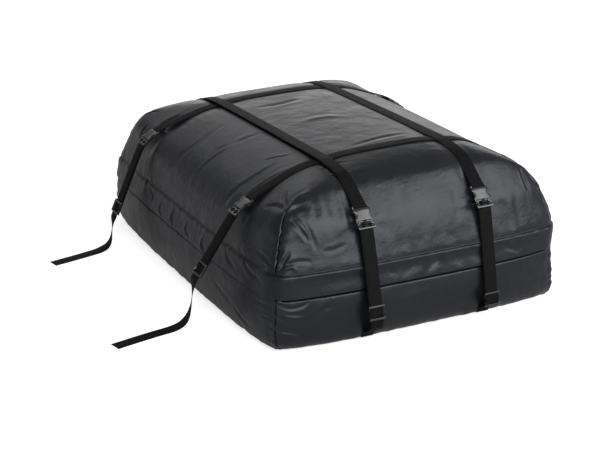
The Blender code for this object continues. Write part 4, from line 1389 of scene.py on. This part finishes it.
def bandLine(height, off=0.0):
    return np.array([wallPoint(s, height, off) for s in flapStations()])


coverLines = [bandLine(stitchForm["coverHeight"]), *besideDarts(stitchForm["besideDart"])]
makeStitches("coverTopstitching", coverLines, cover)
makeStitches("flapTopstitching", [bandLine(stitchForm["flapHeight"], stitchForm["flapOff"])],
             flap)
print("topstitching sewn")


# Hardware: modelled once about its own middle, with x across the strap, y down it and z
# outwards, then copied to each strap end
def startBlock(name, low, high):
    low, high = Vector(low), Vector(high)
    bpy.ops.object.select_all(action="DESELECT")
    bpy.ops.mesh.primitive_cube_add(size=1, location=(low + high) / 2, scale=high - low)
    piece = bpy.context.object
    piece.name = name
    bpy.ops.object.transform_apply(location=True, rotation=True, scale=True)
    piece.data.materials.append(acetal)
    return piece


def editing(piece):
    activate(piece)
    bpy.ops.object.mode_set(mode="EDIT")
    bpy.ops.mesh.select_mode(type="FACE")


def doneEditing():
    bpy.ops.object.mode_set(mode="OBJECT")


def cutAt(piece, axis, places):
    # Cuts straight across the whole piece
    editing(piece)
    normal = [0, 0, 0]
    normal[axis] = 1
    for place in places:
        spot = [0, 0, 0]
        spot[axis] = place
        bpy.ops.mesh.select_all(action="SELECT")
        bpy.ops.mesh.bisect(plane_co=spot, plane_no=normal)
    doneEditing()


def pickFaces(piece, test):
    # Selects the faces whose middle and normal pass the test, and leaves edit mode on
    editing(piece)
    bpy.ops.mesh.select_all(action="DESELECT")
    shape = bmesh.from_edit_mesh(piece.data)
    for face in shape.faces:
        face.select = bool(test(face.calc_center_median(), face.normal))
    shape.select_flush_mode()
    bmesh.update_edit_mesh(piece.data)


def moveFaces(piece, test, shift):
    pickFaces(piece, test)
    bpy.ops.transform.translate(value=shift)
    doneEditing()


def growFaces(piece, test, shift):
    pickFaces(piece, test)
    bpy.ops.mesh.extrude_region_move(TRANSFORM_OT_translate={"value": shift})
    doneEditing()


def tunnel(piece, test):
    # Joins a pair of faces with a hole between them
    pickFaces(piece, test)
    bpy.ops.mesh.bridge_edge_loops()
    doneEditing()


def shapePoints(piece, rule):
    for vertex in piece.data.vertices:
        vertex.co = Vector(rule(*vertex.co))


def roundEdges(piece, width, segments=2):
    activate(piece)
    bpy.ops.object.mode_set(mode="EDIT")
    bpy.ops.mesh.select_all(action="SELECT")
    bpy.ops.mesh.remove_doubles(threshold=0.00002)
    bpy.ops.mesh.normals_make_consistent(inside=False)
    doneEditing()
    applyModifier(piece, "BEVEL", width=width, segments=segments, limit_method="ANGLE",
                  angle_limit=radians(28), harden_normals=False)
    smoothShade(piece, 35)


def between(value, low, high):
    return low < value < high


socketForm = {
    "half": 0.0250, "body": -0.0355, "end": -0.0420, "thick": 0.0060, "rail": 0.0198,
    "railThick": 0.0030, "bar": 0.0012, "barFrom": -0.0395, "waist": 0.0185,
    "waistMiddle": -0.0165, "waistReach": 0.0115, "cavity": (0.0215, -0.030, 0.0038),
    "crownCuts": (-0.0135, -0.0070, 0.0, 0.0070, 0.0135), "edge": 0.0009,
}


def makeSocket():
    look = socketForm
    half, body, thick = look["half"], look["body"], look["thick"]
    piece = startBlock("socketModel", (-half, body, -thick), (half, 0, thick))
    steps = 12
    cutAt(piece, 1, [body * k / steps for k in range(1, steps)])
    cutAt(piece, 0, [-look["rail"], *look["crownCuts"], look["rail"]])
    cutAt(piece, 2, [-look["railThick"], -look["bar"], look["bar"], look["railThick"]])
    growFaces(piece, lambda c, n: n.y < -0.9 and abs(c.x) > look["rail"]
              and abs(c.z) < look["railThick"], (0, look["barFrom"] - body, 0))
    growFaces(piece, lambda c, n: n.y < -0.9 and abs(c.x) > look["rail"]
              and c.y < look["barFrom"] + 0.0001, (0, look["end"] - look["barFrom"], 0))
    tunnel(piece, lambda c, n: abs(n.x) > 0.9 and abs(c.x) < look["rail"] + 0.0001
           and c.y < look["barFrom"] and abs(c.z) < look["bar"])

    def waisted(x, y, z):
        # The sides draw in around the release wings, and the whole body is a little crowned
        t = min(abs(y - look["waistMiddle"]) / look["waistReach"], 1.0)
        pull = (1 - t * t) ** 2
        if abs(x) > 0.0190 and y > body - 0.0001:
            x *= 1 - (1 - look["waist"] / half) * pull
        corner = min(max(0.0, (body + 0.009 - y) / 0.009), 1.0)
        if abs(x) > half - 0.0001:
            x *= 1 - 0.06 * corner
        if abs(z) > look["railThick"] + 0.0001:
            z *= 1.03 - 0.30 * (abs(x) / half) ** 2 - 0.28 * corner ** 2
        return x, y, z

    shapePoints(piece, waisted)
    wide, deep, high = look["cavity"]
    cutter = startBlock("cavityCutter", (-wide, deep, -high), (wide, 0.010, high))
    applyModifier(piece, "BOOLEAN", operation="DIFFERENCE", object=cutter, solver="EXACT")
    bpy.data.objects.remove(cutter)
    roundEdges(piece, look["edge"])
    return piece


prongForm = {
    "half": 0.0250, "from": 0.0004, "plate": 0.0050, "length": 0.0235, "thick": 0.0030,
    "rail": 0.0198, "bar": (0.0103, 0.0127), "barThick": 0.0010, "rim": 0.0182,
    "wing": (0.0146, 0.0211), "wingThick": 0.0026, "reach": -0.0280, "hook": -0.0225,
    "wingSteps": (-0.006, -0.010, -0.016), "guide": 0.0049, "guideReach": -0.0240,
    "edge": 0.0007,
}


def makeProngHalf():
    look = prongForm
    half, start, thick = look["half"], look["from"], look["thick"]
    piece = startBlock("prongModel", (-half, start, -thick), (half, look["length"], thick))
    inner, outer = look["wing"]
    cutAt(piece, 0, [-look["rail"], look["rail"]])
    cutAt(piece, 1, [look["plate"], *look["bar"], look["rim"]])
    for low, high in ((look["plate"], look["bar"][0]), (look["bar"][1], look["rim"])):
        tunnel(piece, lambda c, n: abs(n.z) > 0.9 and abs(c.x) < look["rail"]
               and between(c.y, low, high))
    drop = thick - look["barThick"]
    for side in (-1, 1):
        moveFaces(piece, lambda c, n: n.z * side > 0.9 and abs(c.x) < look["rail"]
                  and between(c.y, *look["bar"]), (0, 0, -side * drop))
    cutAt(piece, 0, [side * x for side in (-1, 1) for x in (look["guide"], inner, outer)])
    cutAt(piece, 2, [-look["wingThick"], look["wingThick"]])

    def isWing(c, n):
        return n.y < -0.9 and between(abs(c.x), inner, outer) and abs(c.z) < look["wingThick"]

    for stop in (*look["wingSteps"], look["hook"], look["reach"]):
        here = min(v.co.y for v in piece.data.vertices)
        growFaces(piece, isWing, (0, stop - here, 0))
    growFaces(piece, lambda c, n: n.y < -0.9 and abs(c.x) < look["guide"]
              and abs(c.z) < look["wingThick"] and c.y > -0.001,
              (0, look["guideReach"] - start, 0))

    def flexed(x, y, z):
        # The prongs are slim at the root, swell to a grip and end in a hook
        side = 1 if x > 0 else -1
        if y < -0.003 and abs(x) > look["guide"] + 0.0005:
            if y > -0.012:
                x -= side * 0.0022 * (1 if abs(x) > 0.018 else 0)
            if y < look["hook"] - 0.001:
                x -= side * (0.0040 if abs(x) > 0.018 else 0.0)
        if y > 0 and abs(z) > thick - 0.0001:
            # The rim stands up, and the plate and rails lie lower
            z *= 1.0 if y > look["rim"] - 0.0001 else 0.55 + 0.35 * (y / look["rim"]) ** 3
        if y > 0 and abs(x) > half - 0.0001:
            x *= 0.955 if y < look["rim"] else 0.975
        return x, y, z

    shapePoints(piece, flexed)
    roundEdges(piece, look["edge"])
    return piece


adjusterForm = {
    "half": 0.0235, "length": 0.0190, "front": 0.0045, "back": -0.0040, "rail": 0.0198,
    "endBar": 0.0140, "middleBar": 0.0030, "webSide": 0.00105, "barFront": -0.0027,
    "edge": 0.0008, "corner": 0.0030,
}


def makeAdjuster():
    look = adjusterForm
    half, length = look["half"], look["length"]
    piece = startBlock("adjusterModel", (-half, -length, look["back"]),
                       (half, length, look["front"]))
    cutAt(piece, 0, [-look["rail"], look["rail"]])
    cutAt(piece, 1, [-length + look["corner"], -look["endBar"], -look["middleBar"],
                     look["middleBar"], look["endBar"], length - look["corner"]])
    for side in (-1, 1):
        low, high = sorted((side * look["middleBar"], side * look["endBar"]))
        tunnel(piece, lambda c, n: abs(n.z) > 0.9 and abs(c.x) < look["rail"]
               and between(c.y, low, high))
    moveFaces(piece, lambda c, n: n.z > 0.9 and abs(c.x) < look["rail"]
              and abs(c.y) < look["middleBar"], (0, 0, look["barFront"] - look["front"]))
    moveFaces(piece, lambda c, n: n.z < -0.9 and abs(c.x) < look["rail"]
              and abs(c.y) > look["endBar"], (0, 0, look["webSide"] - look["back"]))

    def rounded(x, y, z):
        past = (abs(y) - (length - look["corner"])) / look["corner"]
        if abs(x) > half - 0.0001 and past > 0:
            x -= (1 if x > 0 else -1) * look["corner"] * 0.45 * past
        return x, y, z

    shapePoints(piece, rounded)
    roundEdges(piece, look["edge"])
    return piece


def placeCopy(model, name, matrix, body, node):
    piece = model.copy()
    piece.data = model.data.copy()
    piece.name = piece.data.name = name
    bpy.context.scene.collection.objects.link(piece)
    piece.data.transform(matrix)
    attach(piece, body)
    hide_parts(node)


def fitHardware():
    socket, prong, glide = makeSocket(), makeProngHalf(), makeAdjuster()
    for end in buckleEnds:
        matrix = frameMatrix(*buckleFrame(end))
        placeCopy(socket, end + "_socket_shell", matrix, "bag", end + "_socket")
        placeCopy(prong, end + "_prong_clip", matrix, end + "_lower_end", end + "_prong_half")
        _, middle, along, out = loopDirections(end)
        across = buckleFrame(end)[1]
        placeCopy(glide, end + "_tri_glide", frameMatrix(middle, across, along, out),
                  end + "_adjuster", end + "_adjuster")
    for model in (socket, prong, glide):
        bpy.data.objects.remove(model)


fitHardware()
print("buckles and adjusters fitted")

# The zip and its pull tabs keep the frame's shapes
for nodeName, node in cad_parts.items():
    finish = zipTape if "zip_half" in nodeName else enamel
    if "zip" in nodeName or "pull_tab" in nodeName:
        for k in range(len(node.data.materials)):
            node.data.materials[k] = finish


# Studio: a white paper floor, a low white backdrop and a dimmer room above, a large softbox
# to the front right with a weaker one beside it, a low one behind on the right, and two weak
# fills
stageLook = {
    "floorHalf": 9.0, "paper": "#b6b6b6", "paperGlow": 0.72, "paperMirror": 0.06,
    "room": 0.36, "backdropTop": 0.03, "roomFrom": 0.13,
    "aim": (0.0, 0.0, 0.22),
}
softboxes = {
    "key": {"turn": 29, "rise": 34, "away": 4.6, "size": (4.2, 3.6), "power": 288.0},
    "near": {"turn": -20, "rise": 36, "away": 4.8, "size": (3.0, 3.4), "power": 165.0},
    "low": {"turn": 150, "rise": 11, "away": 4.8, "size": (3.6, 1.4), "power": 19.0},
    "side": {"turn": -100, "rise": 14, "away": 4.2, "size": (1.6, 1.0), "power": 5.5},
    "back": {"turn": -178, "rise": 42, "away": 4.4, "size": (3.0, 1.8), "power": 20.0},
}


def whiteRays(tree):
    # 1 where the camera, a reflection or a see-through piece looks
    paths = addNode(tree, "ShaderNodeLightPath").outputs
    seen = addNode(tree, "ShaderNodeMath", {0: paths["Is Camera Ray"], 1: paths["Is Glossy Ray"]},
                   operation="MAXIMUM")
    return addNode(tree, "ShaderNodeMath",
                   {0: seen.outputs[0], 1: paths["Is Transmission Ray"]},
                   operation="MAXIMUM").outputs[0]


def makeFloor():
    bpy.ops.mesh.primitive_plane_add(size=stageLook["floorHalf"] * 2)
    floor = bpy.context.object
    floor.name = "paperFloor"
    material, tree, shader = startMaterial("mattPaper", {"Roughness": 0.9,
                                                         "Specular IOR Level": 0.1})
    shader.inputs["Base Color"].default_value = sheetColour(stageLook["paper"])
    shader.inputs["Emission Color"].default_value = (1, 1, 1, 1)
    paths = addNode(tree, "ShaderNodeLightPath").outputs
    looks = addNode(tree, "ShaderNodeMath", {0: paths["Is Glossy Ray"],
                                             1: paths["Is Transmission Ray"]},
                    operation="MAXIMUM")
    mirror = addNode(tree, "ShaderNodeMath", {0: looks.outputs[0], 1: stageLook["paperMirror"]},
                     operation="MULTIPLY")
    glow = addNode(tree, "ShaderNodeMath", {0: paths["Is Camera Ray"], 1: stageLook["paperGlow"],
                                            2: mirror.outputs[0]}, operation="MULTIPLY_ADD")
    tree.links.new(glow.outputs[0], shader.inputs["Emission Strength"])
    floor.data.materials.append(material)


def makeWorld():
    # The backdrop is white to all that looks at it; above it the room is dimmer
    world = bpy.data.worlds.new("whiteStudio")
    bpy.context.scene.world = world
    world.use_nodes = True
    tree = world.node_tree
    ground = tree.nodes["Background"]
    ground.inputs["Color"].default_value = (1, 1, 1, 1)
    way = addNode(tree, "ShaderNodeTexCoord").outputs["Generated"]
    height = addNode(tree, "ShaderNodeSeparateXYZ", {"Vector": way}).outputs["Z"]
    above = rangeOf(tree, height, 1.0, stageLook["room"], stageLook["backdropTop"],
                    stageLook["roomFrom"])
    paths = addNode(tree, "ShaderNodeLightPath").outputs
    overhead = addNode(tree, "ShaderNodeMath", {0: above, 1: paths["Is Camera Ray"]},
                       operation="MAXIMUM")
    strength = addNode(tree, "ShaderNodeMapRange", {
        "Value": whiteRays(tree), "To Min": stageLook["room"], "To Max": overhead.outputs[0]})
    tree.links.new(strength.outputs["Result"], ground.inputs["Strength"])


def makeSoftbox(name, look):
    light = bpy.data.lights.new(name + "Softbox", "AREA")
    light.shape = "RECTANGLE"
    light.size, light.size_y = look["size"]
    light.energy = look["power"]
    lamp = bpy.data.objects.new(name + "Softbox", light)
    bpy.context.scene.collection.objects.link(lamp)
    turn, rise = radians(look["turn"]), radians(look["rise"])
    way = Vector((sin(turn) * cos(rise), -cos(turn) * cos(rise), sin(rise)))
    lamp.location = Vector(stageLook["aim"]) + way * look["away"]
    lamp.rotation_euler = way.to_track_quat("Z", "Y").to_euler()
    lamp.visible_camera = False


makeFloor()
makeWorld()
for boxName, boxLook in softboxes.items():
    makeSoftbox(boxName, boxLook)
bpy.context.scene.view_settings.view_transform = "Standard"
print("stage made")
